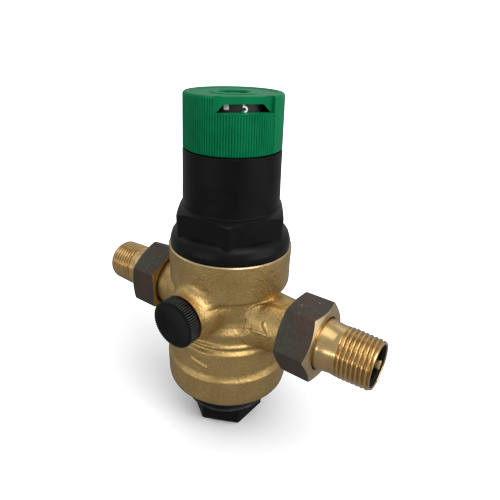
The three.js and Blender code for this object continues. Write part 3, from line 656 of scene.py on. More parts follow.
def softened(points, softness):
    """A [radius, height] outline as a table of radius over height with its corners eased."""
    step = 0.1
    points = np.array(points, float)
    heights = np.arange(points[0, 1], points[-1, 1], step)
    radii = np.interp(heights, points[:, 1], points[:, 0])
    reach = np.arange(-20, 21) * step
    weights = np.exp(-0.5 * (reach / softness) ** 2)
    padded = np.pad(radii, 20, mode="edge")
    radii = np.convolve(padded, weights / weights.sum(), mode="valid")
    lean = 1 / np.sqrt(1 + np.gradient(radii, step) ** 2)
    return heights, radii, lean


def distance_to(profile, along, across):
    """Signed distance to a turned surface, outside it positive."""
    heights, radii, lean = profile
    return (across - np.interp(along, heights, radii)) * np.interp(along, heights, lean)


def blended(first, second, reach):
    """The smaller distance, with a fillet where the two are alike."""
    closeness = np.maximum(reach - np.abs(first - second), 0) / reach
    return np.minimum(first, second) - closeness ** 2 * reach / 4


def barrel_outline():
    """The casting's turned shape: bowl, two ledges, waist, neck and drum."""
    return [
        (BOWL_R - 1.7, BOWL_Z - OVERRUN), (BOWL_R - 1.7, BOWL_Z), (BOWL_R - 0.6, BOWL_Z + 0.9),
        (BOWL_R - 0.15, BOWL_Z + 3.4), (BOWL_R, BOWL_Z + 7), (BOWL_R, 38.7), (27.5, 39.9), (27.0, 41.2),
        (26.3, 50.4), (26.2, 51.6), (25.0, 52.6), (24.6, 53.2), (24.7, 53.8), (25.2, 54.3),
        (25.0, 54.9), (24.1, 55.7), (23.9, 56.6), (24.2, 60.2), (23.9, 60.9), (22.3, 63.1),
        (NECK_R, 65.2), (NECK_R, 73.6), (NECK_R + 0.8, 75.0), (DRUM_R - 1.3, 76.4),
        (DRUM_R - 0.2, 77.2), (DRUM_R, 78.2), (DRUM_R, RIM_Z + OVERRUN),
    ]


def branch_outline():
    return [(13.2, 8), (13.1, 21), (12.8, 25), (BRANCH_R, 30), (BRANCH_R, PORT_END - 3.2),
            (PORT_THREAD_R, PORT_END - 2.8), (PORT_THREAD_R, PORT_END + OVERRUN)]


def boss_outline():
    return [(12.6, 8), (12.4, 18), (11.9, 22), (11.2, 26.4), (10.7, 28.8), (BOSS_R, 30.1),
            (BOSS_R, BOSS_END + OVERRUN)]


def raw_blank():
    """The overlapping plain solids of the casting in one mesh."""
    def closed_off(outline):
        return turned([(0, outline[0][1]), *outline, (0, outline[-1][1])], 64)

    solids = [closed_off(barrel_outline())]
    for side in (-1, 1):
        solids.append(along_pipe(closed_off(branch_outline()), side))
        solids.append(along_gauge(closed_off(boss_outline()), side))
    return joined("blank", solids)


def casting_distance(points):
    """Signed distance to the raw casting: barrel, pipe branches and gauge bosses with fillets."""
    x, y, z = points.T
    barrel = distance_to(BARREL, z, np.hypot(x, y))
    barrel = np.maximum(barrel, np.maximum(z - RIM_Z - OVERRUN, BOWL_Z - OVERRUN - z))
    branches = distance_to(BRANCH, np.abs(x), np.hypot(y, z - PIPE_Z))
    branches = np.maximum(branches, np.abs(x) - PORT_END - OVERRUN)
    bosses = distance_to(BOSS, np.abs(y), np.hypot(x, z - GAUGE_Z))
    bosses = np.maximum(bosses, np.abs(y) - BOSS_END - OVERRUN)
    arms = blended(branches, bosses, FILLET)
    return blended(barrel, arms, ROOT_FILLET)


def settled(points, rounds=4):
    """Points moved onto the casting's surface."""
    step = 0.02
    for _ in range(rounds):
        here = casting_distance(points)
        nearby = [casting_distance(points + step * axis) for axis in np.eye(3)]
        slope = (np.stack(nearby, -1) - here[:, None]) / step
        points = points - here[:, None] * slope / np.maximum((slope ** 2).sum(-1), 0.2)[:, None]
    return points, slope / np.linalg.norm(slope, axis=-1, keepdims=True)


def stroke(x, z, start, end, half_width):
    """Distance outside a straight stroke between two points of the X-Z plane."""
    start, end = np.array(start), np.array(end)
    along = end - start
    flat = np.stack([x, z], -1) - start
    share = np.clip(flat @ along / (along @ along), 0, 1)
    return np.linalg.norm(flat - share[:, None] * along, axis=-1) - half_width


def raised_marks(points):
    """Height of the flow arrow on its pad on the outlet branch and of a short rib on the bowl."""
    x, y, z = points.T
    tip = (30.4, 64.0)
    arrow = np.minimum.reduce([
        stroke(x, z, (22.2, 64.0), tip, 0.6),
        stroke(x, z, (26.6, 67.8), tip, 0.6),
        stroke(x, z, (26.6, 60.2), tip, 0.6),
    ])
    pad = np.hypot(np.maximum(np.abs(x - 26.5) - 4, 0), np.maximum(np.abs(z - 64.5) - 5, 0)) - 4
    azimuth = np.degrees(np.arctan2(x, -y))
    arc = azimuth * 0.49  # millimetres along the bowl
    rib = stroke(arc, z, (0.0, 46.9), (8.4, 44.8), 0.4)
    front = (y < -4) & (x > 12)
    on_branch = 0.6 * np.clip(0.5 - arrow / 0.5, 0, 1) + 0.5 * np.clip(0.5 - pad / 0.7, 0, 1)
    return np.where(front, on_branch, 0) + 0.5 * np.clip(0.5 - rib / 0.5, 0, 1)


def unevenness(points):
    """The slight waviness and grain of a sand casting."""
    lumps = [0.09 * noise.noise(Vector(p / 7)) + 0.035 * noise.noise(Vector(p / 1.3)) for p in points]
    return np.array(lumps)


def machining():
    """The tools that turn, face and bore the raw casting."""
    room_low, room_high = STEM_ROOM_Z
    upright = turned([
        (0, 10), (CLEAR_R, 10), (CLEAR_R, BOWL_Z), (22.9, BOWL_Z), (22.5, BOWL_Z + 0.4),
        (22.5, BOWL_Z + 1.9), (INLET_CHAMBER_R, BOWL_Z + 2.4), (INLET_CHAMBER_R, INLET_CHAMBER_TOP_Z),
        (INSERT_BORE_R, INLET_CHAMBER_TOP_Z), (INSERT_BORE_R, 56), (INSERT_RELIEF_R, 57.5),
        (INSERT_RELIEF_R, 69.5), (INSERT_BORE_R, 71), (INSERT_BORE_R, room_low), (20, room_low),
        (20, room_high), (BONNET_THREAD_R, room_high), (BONNET_THREAD_R, RIM_Z - 0.6),
        (BONNET_THREAD_R + 0.6, RIM_Z), (DRUM_R - 0.45, RIM_Z), (DRUM_R + 1.05, RIM_Z - 1.5),
        (CLEAR_R, RIM_Z - 1.5), (CLEAR_R, 110), (0, 110),
    ], 160)
    tools = [upright]
    hole_r, thread_r, recess_r = GAUGE_BORE_R
    recess = BOSS_END - 1.5
    for side, start in ((1, 11), (-1, 17.8)):
        tools.append(along_pipe(turned([
            (0, start), (PASSAGE_R, start), (PASSAGE_R, PORT_END - 0.5), (PASSAGE_R + 0.5, PORT_END),
            (30, PORT_END), (30, 60), (0, 60),
        ], 96), side))
        tools.append(along_gauge(turned([
            (0, 12), (hole_r, 12), (hole_r, 21), (thread_r, 21), (thread_r, recess), (recess_r, recess),
            (recess_r, BOSS_END - 0.3), (recess_r + 0.3, BOSS_END), (25, BOSS_END), (25, 60), (0, 60),
        ], 96), side))
    duct = turned([(0, 0), (4, 0), (4, 20), (0, 20)], 48)
    start, end = Vector((-23, 0, PIPE_Z + 2)), Vector((-17.6, 0, INLET_CHAMBER_TOP_Z - 5))
    lean = (end - start).to_track_quat("Z", "Y").to_matrix().to_4x4()
    tools.append(moved(duct, Matrix.Translation(start) @ lean))
    return tools


def add_remesh(carrier):
    remesh = carrier.modifiers.new("remesh", "REMESH")
    remesh.mode = "VOXEL"
    remesh.voxel_size = GRID


BARREL = softened(barrel_outline(), 0.22)
BRANCH = softened(branch_outline(), 0.5)
BOSS = softened(boss_outline(), 0.6)


def make_body():
    mesh = evaluated(raw_blank(), add_remesh)
    points, normals = settled(vertices_of(mesh))
    points += normals * (raised_marks(points) + unevenness(points))[:, None]
    place_vertices(mesh, points)
    mesh = combined(mesh, "DIFFERENCE", machining())
    x, y, z, radius, _ = face_data(mesh)
    end_faces = (np.abs(x) > PORT_END - 0.02) | (np.abs(y) > BOSS_END - 0.02)
    bonnet_bore = (radius < BONNET_THREAD_R + 0.1) & (z > STEM_ROOM_Z[1])
    chamber = (radius < INLET_CHAMBER_R + 0.1) & (z < INLET_CHAMBER_TOP_Z)
    trimmed = (z > RIM_Z - 0.02) | (z < BOWL_Z + 0.02) | end_faces | bonnet_bore | chamber
    chamfered = (z > RIM_Z - 0.6) & (radius + z < DRUM_R + RIM_Z - 0.4)
    paint(mesh, [CAST_BRASS, FACED_BRASS], trimmed | chamfered)
    piece("cast_body", mesh, "casting", ["body"], smooth=38)


# ---- union connections ----

def make_tailpiece(name, side):
    """A helical pipe thread between a turned collar and a bore with two driving lugs."""
    angles = azimuths(120)
    thread_x = np.arange(THREAD_START - 0.6, TAIL_END - 0.5, 0.14)
    phase = (thread_x[None, :] / THREAD_PITCH - angles[:, None] / (2 * math.pi)) % 1
    flank = smoothstep(np.clip(1.25 - 2.5 * np.abs(phase - 0.5), 0.0, 1.0))
    run_in = np.clip((thread_x - THREAD_START) / 2.2, 0, 1)
    crest = THREAD_R - np.clip(thread_x - 59, 0, None) / 32
    neck = np.interp(thread_x, [THREAD_START - 1, THREAD_START + 2.5], [10.0, 10.35])
    bare = crest - THREAD_DEPTH * (1 - flank) * run_in
    lead = np.clip(TAIL_END - 0.55 - thread_x, 0, None) * 0.9 + 9.7
    threads = np.minimum(np.minimum(bare, neck), lead)
    before = np.array([
        (TAIL_BORE_R, TAIL_START), (TAIL_COLLAR_R, TAIL_START), (TAIL_COLLAR_R, NUT_LIP_START - 0.3),
        (TAIL_NECK_R, NUT_LIP_START - 0.3), (TAIL_NECK_R, NUT_END - 1.2), (TAIL_NECK_R, NUT_END + 0.6),
        (10.72, NUT_END + 1.6), (10.35, THREAD_START - 4), (10.0, THREAD_START - 0.9),
    ])
    after = np.array([
        (9.6, TAIL_END - 0.25), (9.4, TAIL_END), (8.9, TAIL_END), (8.7, TAIL_END - 0.2),
        (TAIL_BORE_R, TAIL_END - 1.4), (TAIL_BORE_R, TAIL_START + 2),
    ])
    count = len(angles)
    radii = np.hstack([np.tile(before[:, 0], (count, 1)), threads, np.tile(after[:, 0], (count, 1))])
    heights = np.concatenate([before[:, 1], thread_x, after[:, 1]])
    mesh = lofted(columns_of(radii, heights, angles), closed=True)
    lugs = []
    for turn in (-LUG_TURN, 180 - LUG_TURN):
        lug = block((-LUG_HALF_WIDTH, TAIL_BORE_R - LUG_REACH, 60),
                    (LUG_HALF_WIDTH, TAIL_BORE_R + 0.5, TAIL_END - 0.6))
        lugs.append(facing(eased(lug, 0.5, 3), turn))
    mesh = combined(mesh, "UNION", lugs)
    _, _, z, radius, _ = face_data(mesh)
    # Painted shade: the bore, the mouth's chamfer and the neck inside the nut get near-black brass.
    mouth = (radius < 8.65) & (radius > TAIL_BORE_R + 0.05) & (z > TAIL_END - 1.6)
    bore = (np.abs(radius - TAIL_BORE_R) < 0.1) | mouth
    under_nut_shade = z < NUT_END - 1.2
    paint(mesh, [TURNED_BRASS, PAINTED_SHADE_BRASS], bore | under_nut_shade)
    along_pipe(mesh, side)
    piece(f"{name}_tail_turned", mesh, f"{name}_tail", [f"{name}_tailpiece"], 40)


def make_union_nut(name, side, turn):
    """A chamfered hexagon; only its flats keep their dark skin."""
    angles = hexagonal_azimuths(turn)
    limit = hexagon_radius(angles, NUT_AF, turn)[:, None]
    corner = NUT_AF / math.sqrt(3) + 0.1
    inner_r, outer_r = NUT_FACE_R
    inner_slope = NUT_CHAMFER[0] / (corner - inner_r)
    outer_slope = NUT_CHAMFER[1] / (corner - outer_r)
    mesh = ringed([
        (NUT_BORE_R, NUT_START + 0.4), (NUT_BORE_R + 0.4, NUT_START), (inner_r, NUT_START),
        (limit, NUT_START + (limit - inner_r) * inner_slope),
        (limit, NUT_END - (limit - outer_r) * outer_slope), (outer_r, NUT_END),
        (NUT_LIP_R + 0.4, NUT_END), (NUT_LIP_R, NUT_END - 0.4), (NUT_LIP_R, NUT_END - 1.2),
        (NUT_LIP_R, NUT_LIP_START), (NUT_BORE_R, NUT_LIP_START),
    ], angles, closed=True)
    _, _, z, radius, normal_z = face_data(mesh)
    skin = (radius > 14.6) & (np.abs(normal_z) < 0.2)
    # Painted shade: the inside of the lip, deep in the nut, gets near-black brass.
    deep_shade = (radius < NUT_LIP_R + 0.1) & (z < NUT_END - 1)
    paint(mesh, [FACED_BRASS, NUT_SKIN, PAINTED_SHADE_BRASS], np.where(deep_shade, 2, skin))
    mesh = eased(mesh, 0.22, 2, 22)
    along_pipe(mesh, side)
    piece(f"{name}_nut_machined", mesh, f"{name}_nut", [f"{name}_union_nut"], 35, True)


# ---- gauge plugs and bottom plug ----

def make_gauge_plug(name, side):
    angles = azimuths(PLUG_RIBS * 8)
    knurl = ribbed_radius(angles, CAP_R, PLUG_RIBS, PLUG_RIB_DEPTH)[:, None]
    low = BOSS_END + 0.3
    end = BOSS_END - 8.5
    mesh = ringed([
        (0, end), (5.2, end), (5.6, end + 0.4), (5.6, low), (CAP_R - 0.7, low),
        (knurl - 0.15, low + 0.5), (knurl, low + 0.9), (knurl, CAP_END - 0.5),
        (knurl - 0.2, CAP_END - 0.2), (CAP_R - 0.9, CAP_END), (CAP_R - 2.3, CAP_END),
        (CAP_R - 2.6, CAP_END - 0.2), (0, CAP_END - 0.25),
    ], angles, closed=False)
    _, _, z, radius, _ = face_data(mesh)
    # Painted highlight: the knurl's crests get the lighter black.
    crest_highlights = (radius > CAP_R - 0.12) & (z > low + 0.6)
    paint(mesh, [BLACK_PLASTIC, PAINTED_HIGHLIGHT_BLACK], crest_highlights)
    along_gauge(mesh, side)
    piece(f"{name}_plug_knurled", mesh, f"{name}_plug", [f"{name}_gauge_plug"], 40)


def make_bottom_plug():
    """A cup that screws into the bowl, with a blunt hexagon for a foot."""
    rim = BOWL_Z - 0.3
    cup = turned([
        (0, PLUG_EDGE_Z - 2.6), (PLUG_HEX_AF / 2 - 1, PLUG_EDGE_Z - 2.6), (PLUG_HEX_AF / 2, PLUG_EDGE_Z - 1),
        (PLUG_EDGE_R - 0.9, PLUG_EDGE_Z - 0.5), (PLUG_EDGE_R - 0.3, PLUG_EDGE_Z - 0.35),
        (PLUG_EDGE_R, PLUG_EDGE_Z), (PLUG_EDGE_R, PLUG_EDGE_Z + 0.4), (PLUG_EDGE_R - 0.3, PLUG_EDGE_Z + 0.8),
        (PLUG_EDGE_R - 0.9, PLUG_EDGE_Z + 1.4), (FOOT_R - 1.2, rim - 3), (FOOT_R - 0.2, rim - 1.8),
        (FOOT_R, rim - 0.5), (FOOT_R - 0.4, rim), (20.1, rim), (20.1, 33.4), (19.7, 34),
        (16.9, 34), (16.8, 33.8), (16.8, 21.4), (16.4, 21), (0, 21),
    ], 144)
    angles = azimuths(6) + math.radians(PLUG_HEX_TURN)
    widths = [0, PLUG_FACE_AF - 0.6, PLUG_FACE_AF, PLUG_HEX_AF - 1.6, PLUG_HEX_AF, PLUG_HEX_AF, 0]
    corners = np.array(widths) / math.sqrt(3)
    heights = np.array([0, 0, 0.15, PLUG_HEX_LOW_Z - 1.1, PLUG_HEX_LOW_Z, PLUG_EDGE_Z, PLUG_EDGE_Z])
    foot = lofted(columns_of(np.tile(corners, (6, 1)), heights, angles), False)
    mesh = combined(cup, "UNION", [eased(foot, 0.9, 4, 18)])
    _, _, z, radius, _ = face_data(mesh)
    # Painted highlight: the lip's rounded edge gets the lighter black.
    lip_highlight = (np.abs(radius - PLUG_EDGE_R + 0.1) < 0.3) & (np.abs(z - PLUG_EDGE_Z - 0.35) < 0.45)
    paint(mesh, [BLACK_PLASTIC, PAINTED_HIGHLIGHT_BLACK], lip_highlight)
    piece("bottom_plug_moulded", mesh, "bottom_plug", ["bottom_plug"], 30)


# ---- spring bonnet ----

def make_bonnet():
    """A flange, a hexagon with a curved shoulder and chamfer, and a tapered barrel; hollow inside."""
    angles = hexagonal_azimuths(BONNET_HEX_TURN, 32)
    limit = hexagon_radius(angles, BONNET_AF, BONNET_HEX_TURN, 0.35)[:, None]
    skirt_r, top = BONNET_THREAD_R - 0.4, BARREL_TOP_Z
    edge_r, edge_rise = FLANGE_R - 0.15, 2.8
    barrel_r, barrel_top_r = BARREL_R
    inner_r, inner_skirt_r = BONNET_WALL_R
    rings = [(skirt_r, BONNET_LOW_Z), (skirt_r, RIM_Z + 0.3), (FLANGE_R - 0.3, RIM_Z + 0.3),
             (FLANGE_R, RIM_Z + 0.6), (FLANGE_R, RIM_Z + 2.2), (edge_r, RIM_Z + edge_rise)]
    dome_r = [21.3, 22.4, 23.6, 24.6, 25.3, edge_r]
    dome_z = RIM_Z + np.array([7.5, 7.25, 6.7, 5.7, 4.4, edge_rise])
    for share in np.linspace(1, 0, 7)[1:]:
        radius = limit + (edge_r - limit) * share
        rings.append((radius, np.interp(radius, dome_r, dome_z)))
    rings.append((limit, BONNET_HEX_TOP_Z - 6))
    chamfer_r = [barrel_r + 0.1, 20.9, 22.2, 23.6, 24.8]
    chamfer_z = BONNET_HEX_TOP_Z + np.array([2.25, 1.95, 1.45, 0.8, 0.0])
    for share in np.linspace(0, 1, 6):
        radius = limit + (barrel_r + 0.1 - limit) * share
        rings.append((radius, np.interp(radius, chamfer_r, chamfer_z)))
    rings += [
        (barrel_r, BONNET_HEX_TOP_Z + 2.9), (barrel_r, BONNET_HEX_TOP_Z + 4), (19.85, 129),
        (barrel_top_r, top - 0.15), (barrel_top_r - 0.15, top), (inner_r + 0.5, top),
        (inner_r + 0.5, BONNET_HIGH_Z - 0.3), (inner_r + 0.2, BONNET_HIGH_Z), (BONNET_HOLE_R, BONNET_HIGH_Z),
        (BONNET_HOLE_R, 136.9), (inner_r, 136.9), (inner_r, 98), (inner_skirt_r, 92),
        (inner_skirt_r, BONNET_LOW_Z),
    ]
    mesh = ringed(rings, angles, closed=True)
    low, high = KEYWAY_Z
    keyways = block((-KEYWAY_R, -KEYWAY_HALF_WIDTH, low), (KEYWAY_R, KEYWAY_HALF_WIDTH, high))
    mesh = combined(mesh, "DIFFERENCE", [keyways])
    mesh = eased(mesh, 0.3, 2, 24)
    _, _, z, _, normal_z = face_data(mesh)
    # Painted highlight: the faces along the hexagon's top edge get the lighter black.
    edge = (normal_z > 0.12) & (normal_z < 0.5) & (np.abs(z - BONNET_HEX_TOP_Z - 0.4) < 1.6)
    paint(mesh, [BLACK_PLASTIC, PAINTED_HIGHLIGHT_BLACK], edge)
    piece("spring_bonnet_moulded", mesh, "bonnet", ["spring_bonnet"], 34, True)


# ---- knob, scale and lock screw ----

def ribbed(azimuth):
    return (azimuth < SMOOTH_SPAN[0]) | (azimuth > SMOOTH_SPAN[1])


def knob_shell():
    angles = azimuths(KNOB_RIBS * 8)
    depth = np.where(ribbed(np.degrees(angles)), KNOB_RIB_DEPTH, 0)
    ribs = ribbed_radius(angles, KNOB_R, KNOB_RIBS, depth)[:, None]
    top = KNOB_HIGH_Z
    return ringed([
        (KNOB_INNER_R, KNOB_LOW_Z), (KNOB_R - 0.6, KNOB_LOW_Z), (ribs - 0.1, KNOB_LOW_Z + 0.35),
        (ribs, KNOB_LOW_Z + 0.8), (ribs - KNOB_DRAFT / 2, (KNOB_LOW_Z + top) / 2),
        (ribs - KNOB_DRAFT, top - 0.9), (ribs - KNOB_DRAFT - 0.2, top - 0.4),
        (KNOB_R - 0.9, top - 0.05), (KNOB_R - 1.3, top), (KNOB_R - 2.6, top), (KNOB_R - 2.9, top - 0.3),
        (9.4, top - 0.3), (9.1, top), (SCREW_WELL_R + 0.4, top), (SCREW_WELL_R, top - 0.4),
        (SCREW_WELL_R, SCREW_SEAT_Z), (2.3, SCREW_SEAT_Z), (2.3, KNOB_HUB_LOW_Z),
        (KNOB_HUB_R, KNOB_HUB_LOW_Z), (KNOB_HUB_R, KNOB_ROOF_Z), (KNOB_INNER_R, KNOB_ROOF_Z),
    ], angles, closed=True)


def make_knob():
    """The ribbed cap with its window: a notch in the rim, an opening onto the scale and a pointer."""
    floor, half = WINDOW_FLOOR_Z, WINDOW_HALF_WIDTH
    roof = KNOB_HIGH_Z - 0.8
    room = turned([(0, KNOB_LOW_Z), (17.6, KNOB_LOW_Z), (17.6, roof), (0, roof)], 96)
    wall = block((-half - 1.5, -19.1, floor - 1.5), (half + 1.5, 0.7 - WINDOW_WALL, KNOB_HIGH_Z - 1))
    wall = combined(facing(wall, WINDOW_TURN), "INTERSECT", [room])
    pocket = facing(block((-half, -30, floor), (half, -WINDOW_WALL, KNOB_HIGH_Z + 2)), WINDOW_TURN)
    opening_top = floor + 2.9
    opening = prism([(-10.2, floor), (10.2, floor), (7.4, opening_top), (-7.4, opening_top)], 12.6, 15.6)
    upright = Matrix.Rotation(math.pi / 2, 4, "X")
    facing(moved(opening, upright), WINDOW_TURN)
    socket = turned([(0, 140), (6.35, 140), (6.35, 150.5), (0, 150.5)], 6)
    mesh = combined(knob_shell(), "UNION", [wall])
    mesh = combined(mesh, "DIFFERENCE", [pocket, opening, socket])
    pointer = prism([(-0.8, floor - 0.3), (0.8, floor - 0.3), (0, floor + 1.15)],
                    WINDOW_WALL - 0.6, WINDOW_WALL + 0.1)
    facing(moved(pointer, upright), WINDOW_TURN - 1.2)
    mesh = combined(mesh, "UNION", [pointer])
    x, y, z, radius, normal_z = face_data(mesh)
    azimuth = np.arctan2(x, -y)
    outside = (radius > KNOB_R - 0.9) & (z < KNOB_HIGH_Z - 1) & (np.abs(normal_z) < 0.3)
    # Painted shade: the valleys between the ribs get the darker green.
    valleys = ribbed(np.degrees(azimuth)) & outside & (np.cos(azimuth * KNOB_RIBS) < -0.45)
    paint(mesh, [GREEN_PLASTIC, SHADED_GREEN], valleys)
    piece("knob_moulded", mesh, "knob", ["adjusting_knob"], 34)


def wrapped(mesh, azimuth, height, radius):
    """Lays a flat mesh in the X-Y plane round the scale drum, readable from outside."""
    points = vertices_of(mesh)
    angle = math.radians(azimuth) + points[:, 0] / radius
    reach = radius + points[:, 2]
    place_vertices(mesh, np.stack([reach * np.sin(angle), -reach * np.cos(angle), height + points[:, 1]], -1))
    return mesh


def numeral(text, height):
    """A raised numeral, centred, in the X-Y plane."""
    curve = bpy.data.curves.new("numeral", "FONT")
    curve.body = text
    curve.size = height / 0.7
    curve.extrude = 0.04
    curve.offset = 0.05
    curve.resolution_u = 6
    carrier = linked("numeral", curve)
    graph = bpy.context.evaluated_depsgraph_get()
    mesh = bpy.data.meshes.new_from_object(carrier.evaluated_get(graph), depsgraph=graph)
    bpy.data.objects.remove(carrier)
    points = vertices_of(mesh)
    middle = (points.max(0) + points.min(0)) / 2
    return welded(moved(mesh, Matrix.Translation(-Vector(middle))))


def make_scale():
    """The drum behind the window, with generic numerals and squares."""
    low, high, inner_r = SCALE_LOW_Z, SCALE_HIGH_Z, 9.6
    drum = turned([
        (inner_r, low), (SCALE_R - 0.3, low), (SCALE_R, low + 0.3), (SCALE_R, high - 0.3),
        (SCALE_R - 0.3, high), (SCALE_R - 1.4, high), (SCALE_R - 1.4, low + 2), (inner_r, low + 2),
    ], 128, closed=True)
    paint(drum, [SCALE_BLACK])
    piece("scale_drum", drum, "bonnet", ["scale_ring"])
    step = 28
    middle_z = WINDOW_FLOOR_Z + 1.7
    print_r = SCALE_R + 0.04
    prints = []
    for number in range(5):
        azimuth = WINDOW_TURN + 3 - 2 * number * step
        square = block((-0.95, -0.9, -0.04), (0.95, 0.9, 0.04))
        prints.append(wrapped(numeral(str(5 - number), 3.8), azimuth, middle_z, print_r))
        prints.append(wrapped(square, azimuth - step, middle_z, print_r))
    marks = joined("marks", prints)
    paint(marks, [SCALE_PRINT])
    piece("scale_marks", marks, "bonnet")


def make_lock_screw():
    low, high = screw_low[2], screw_high[2]
    seat = SCREW_SEAT_Z + 0.3
    mesh = turned([
        (0, low), (1.7, low), (2, low + 0.3), (2, seat), (4.5, seat), (4.8, seat + 0.4), (4.7, high - 0.9),
        (4.2, high - 0.3), (3.2, high - 0.05), (0, high),
    ], 64)
    mesh = combined(mesh, "DIFFERENCE", [block((-6, -0.55, high - 1.2), (6, 0.55, high + 1))])
    paint(mesh, [GREEN_PLASTIC])
    piece("lock_screw_slotted", mesh, "lock_screw", ["lock_screw"])


# ---- diaphragm and adjusting spring ----

def make_diaphragm():
    """A disc with a rolled fold between its middle at the stem and its rim in the casting; it rides on no
    body.
    """
    low, high = DIAPHRAGM_Z
    first, last = FOLD_R
    rim_r = BONNET_THREAD_R - 0.5
    fold = np.linspace(first, last, 13)
    dip = FOLD_DEPTH * (0.5 - 0.5 * np.cos(2 * math.pi * (fold - first) / (last - first)))
    under = [(DIAPHRAGM_HOLE_R, low), *zip(fold, low - dip), (rim_r, low)]
    over = [(rim_r, high), *zip(fold[::-1], (high - dip)[::-1]), (DIAPHRAGM_HOLE_R, high)]
    mesh = turned(under + over, 144, closed=True)
    paint(mesh, [FINISHES["rubber"]])
    made = piece("diaphragm_moulded", mesh, None, ["diaphragm"])
    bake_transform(made)
    points = vertices_of(made.data) / MM


def coil(first, last):
    """The adjusting spring's wire between two shares of its length."""
    low, high = SPRING_Z
    share = np.linspace(first, last, 1 + round(SPRING_TURNS * 40 * (last - first)))
    rise = smoothstep(np.clip((share - 0.04) / 0.92, 0, 1))
    height = low + SPRING_WIRE_R + rise * (high - low - 2 * SPRING_WIRE_R)
    angle = share * SPRING_TURNS * 2 * math.pi
    section = azimuths(14)
    reach = SPRING_R + SPRING_WIRE_R * np.cos(section)[None, :]
    points = np.stack([
        reach * np.cos(angle)[:, None],
        reach * np.sin(angle)[:, None],
        height[:, None] + SPRING_WIRE_R * np.sin(section)[None, :],
    ], -1)
    rings, sides, _ = points.shape
    walls = [[i * sides + j, (i + 1) * sides + j, (i + 1) * sides + k, i * sides + k]
             for i in range(rings - 1) for j in range(sides) for k in [(j + 1) % sides]]
    ends = [list(range(sides)), list(range((rings - 1) * sides, rings * sides))[::-1]]
    mesh = bpy.data.meshes.new("coil")
    mesh.from_pydata(points.reshape(-1, 3).tolist(), [], walls + ends)
    return mesh


def make_spring():
    """The coil between the stem and the spring nut, in two halves a hair apart; the lower rides on the
    casting, the upper on no body.
    """
    lower_end, upper_start = SPRING_SPLIT
    for part, first, last, body in (("lower", 0, lower_end, "casting"), ("upper", upper_start, 1, None)):
        mesh = coil(first, last)
        paint(mesh, [FINISHES["steel"]])
        stands_for = ["adjusting_spring"] if part == "lower" else []
        made = piece(f"adjusting_spring_{part}", mesh, body, stands_for)
        if part == "lower":
            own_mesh(made)
        else:
            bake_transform(made)


# ---- the inner pieces keep their CAD shape ----

def finish_inner_pieces():
    slots = {row["node"]: row["material_slot"] for row in frame["record"]["subparts"]}
    for name, carried in frame["nodes"].items():
        if carried.hide_render:
            continue
        carried.data.shade_smooth()
        carried.data.set_sharp_from_angle(angle=math.radians(35))
        carried.data.materials.clear()
        carried.data.materials.append(FINISHES[slots[name]])


# ---- stage, light and camera ----

def make_floor():
    """A wide sheet that only shows the shadow; its size is in metres."""
    size = 3.0
    corners = [(-size, -size, 0), (size, -size, 0), (size, size, 0), (-size, size, 0)]
    mesh = mesh_from("floor", corners, [[0, 1, 2, 3]])
    look = Shader("floor", (0.3, 0.3, 0.3), 0.7, specular=0.2)
    look.mottled(300, 2, 0.28, 0.32)
    mesh.materials.append(look.material)
    floor = linked("floor", mesh)
    floor.is_shadow_catcher = True


def direction(azimuth, elevation):
    """The unit vector towards an azimuth and elevation in degrees."""
    a, e = math.radians(azimuth), math.radians(elevation)
    return Vector((math.sin(a) * math.cos(e), -math.cos(a) * math.cos(e), math.sin(e)))


def softbox(name, azimuth, elevation, distance, width, height, watts):
    """A soft rectangular light that looks at the middle of the valve; its measures are in metres."""
    lamp = bpy.data.lights.new(name, "AREA")
    lamp.shape = "RECTANGLE"
    lamp.size = width
    lamp.size_y = height
    lamp.energy = watts
    holder = linked(name, lamp)
    away = direction(azimuth, elevation)
    holder.location = Vector((0, 0, 0.08)) + away * distance
    holder.rotation_mode = "QUATERNION"
    holder.rotation_quaternion = away.to_track_quat("Z", "Y")


def make_world():
    """White behind the object; dimmer as a source of light and reflections."""
    world = bpy.data.worlds.new("studio")
    world.use_nodes = True
    nodes, links = world.node_tree.nodes, world.node_tree.links
    seen = nodes["Background"]
    seen.inputs["Color"].default_value = (1, 1, 1, 1)
    seen.inputs["Strength"].default_value = 1.3
    lighting = nodes.new("ShaderNodeBackground")
    lighting.inputs["Color"].default_value = (0.95, 0.97, 1, 1)
    lighting.inputs["Strength"].default_value = 0.58
    path = nodes.new("ShaderNodeLightPath")
    mix = nodes.new("ShaderNodeMixShader")
    links.new(path.outputs["Is Camera Ray"], mix.inputs["Fac"])
    links.new(lighting.outputs["Background"], mix.inputs[1])
    links.new(seen.outputs["Background"], mix.inputs[2])
    links.new(mix.outputs["Shader"], nodes["World Output"].inputs["Surface"])
    bpy.context.scene.world = world


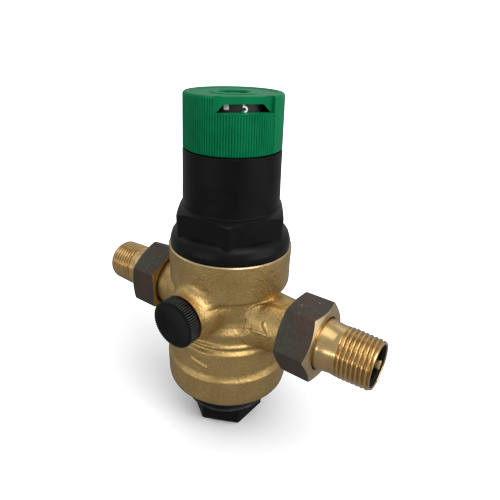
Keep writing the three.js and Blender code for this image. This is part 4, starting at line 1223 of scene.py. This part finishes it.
CAMERA_AZIMUTH = 36.344
CAMERA_ELEVATION = 24.375
CAMERA_ROLL = 1.379
CAMERA_DISTANCE = 193.6  # from the point on the axis at CAMERA_TARGET_Z
CAMERA_TARGET_Z = 94.36
LENS = 31.86
LENS_SHIFT = (0.0395, -0.0212)


def make_camera():
    """The view that the valve is shown from."""
    azimuth, roll = math.radians(CAMERA_AZIMUTH), math.radians(CAMERA_ROLL)
    back = direction(CAMERA_AZIMUTH, CAMERA_ELEVATION)
    right = Vector((math.cos(azimuth), math.sin(azimuth), 0))
    up = back.cross(right)
    turned_right = math.cos(roll) * right + math.sin(roll) * up
    turned_up = math.cos(roll) * up - math.sin(roll) * right
    camera = bpy.data.cameras.new("camera")
    camera.sensor_width = 36
    camera.lens = LENS
    camera.shift_x, camera.shift_y = LENS_SHIFT
    camera.clip_start, camera.clip_end = 0.01, 20
    holder = linked("camera", camera)
    rotation = Matrix((turned_right, turned_up, back)).transposed().to_4x4()
    place = (Vector((0, 0, CAMERA_TARGET_Z)) + back * CAMERA_DISTANCE) * MM
    holder.matrix_world = Matrix.Translation(place) @ rotation
    bpy.context.scene.camera = holder


def make_lights():
    softbox("key", 70, 46, 0.8, 0.5, 0.4, 2.9)
    softbox("right fill", 98, 12, 0.9, 0.6, 0.6, 2.4)
    softbox("top", 20, 86, 0.9, 0.6, 0.6, 1.4)
    softbox("back", 200, 35, 0.9, 0.5, 0.4, 0.3)
    softbox("left fill", -70, 35, 0.9, 0.5, 0.5, 0.35)
    softbox("low strip", -12, 4, 0.8, 0.5, 0.05, 0.7)


make_camera()
make_world()
make_lights()
make_floor()
make_body()
for side_name, side, corner_turn in (("inlet", -1, 30), ("outlet", 1, 0)):
    make_tailpiece(side_name, side)
    make_union_nut(side_name, side, corner_turn)
for port_name, port_side in (("front", -1), ("rear", 1)):
    make_gauge_plug(port_name, port_side)
make_bottom_plug()
make_bonnet()
make_knob()
make_scale()
make_lock_screw()
make_diaphragm()
make_spring()
finish_inner_pieces()

bpy.context.scene.view_settings.view_transform = "Standard"
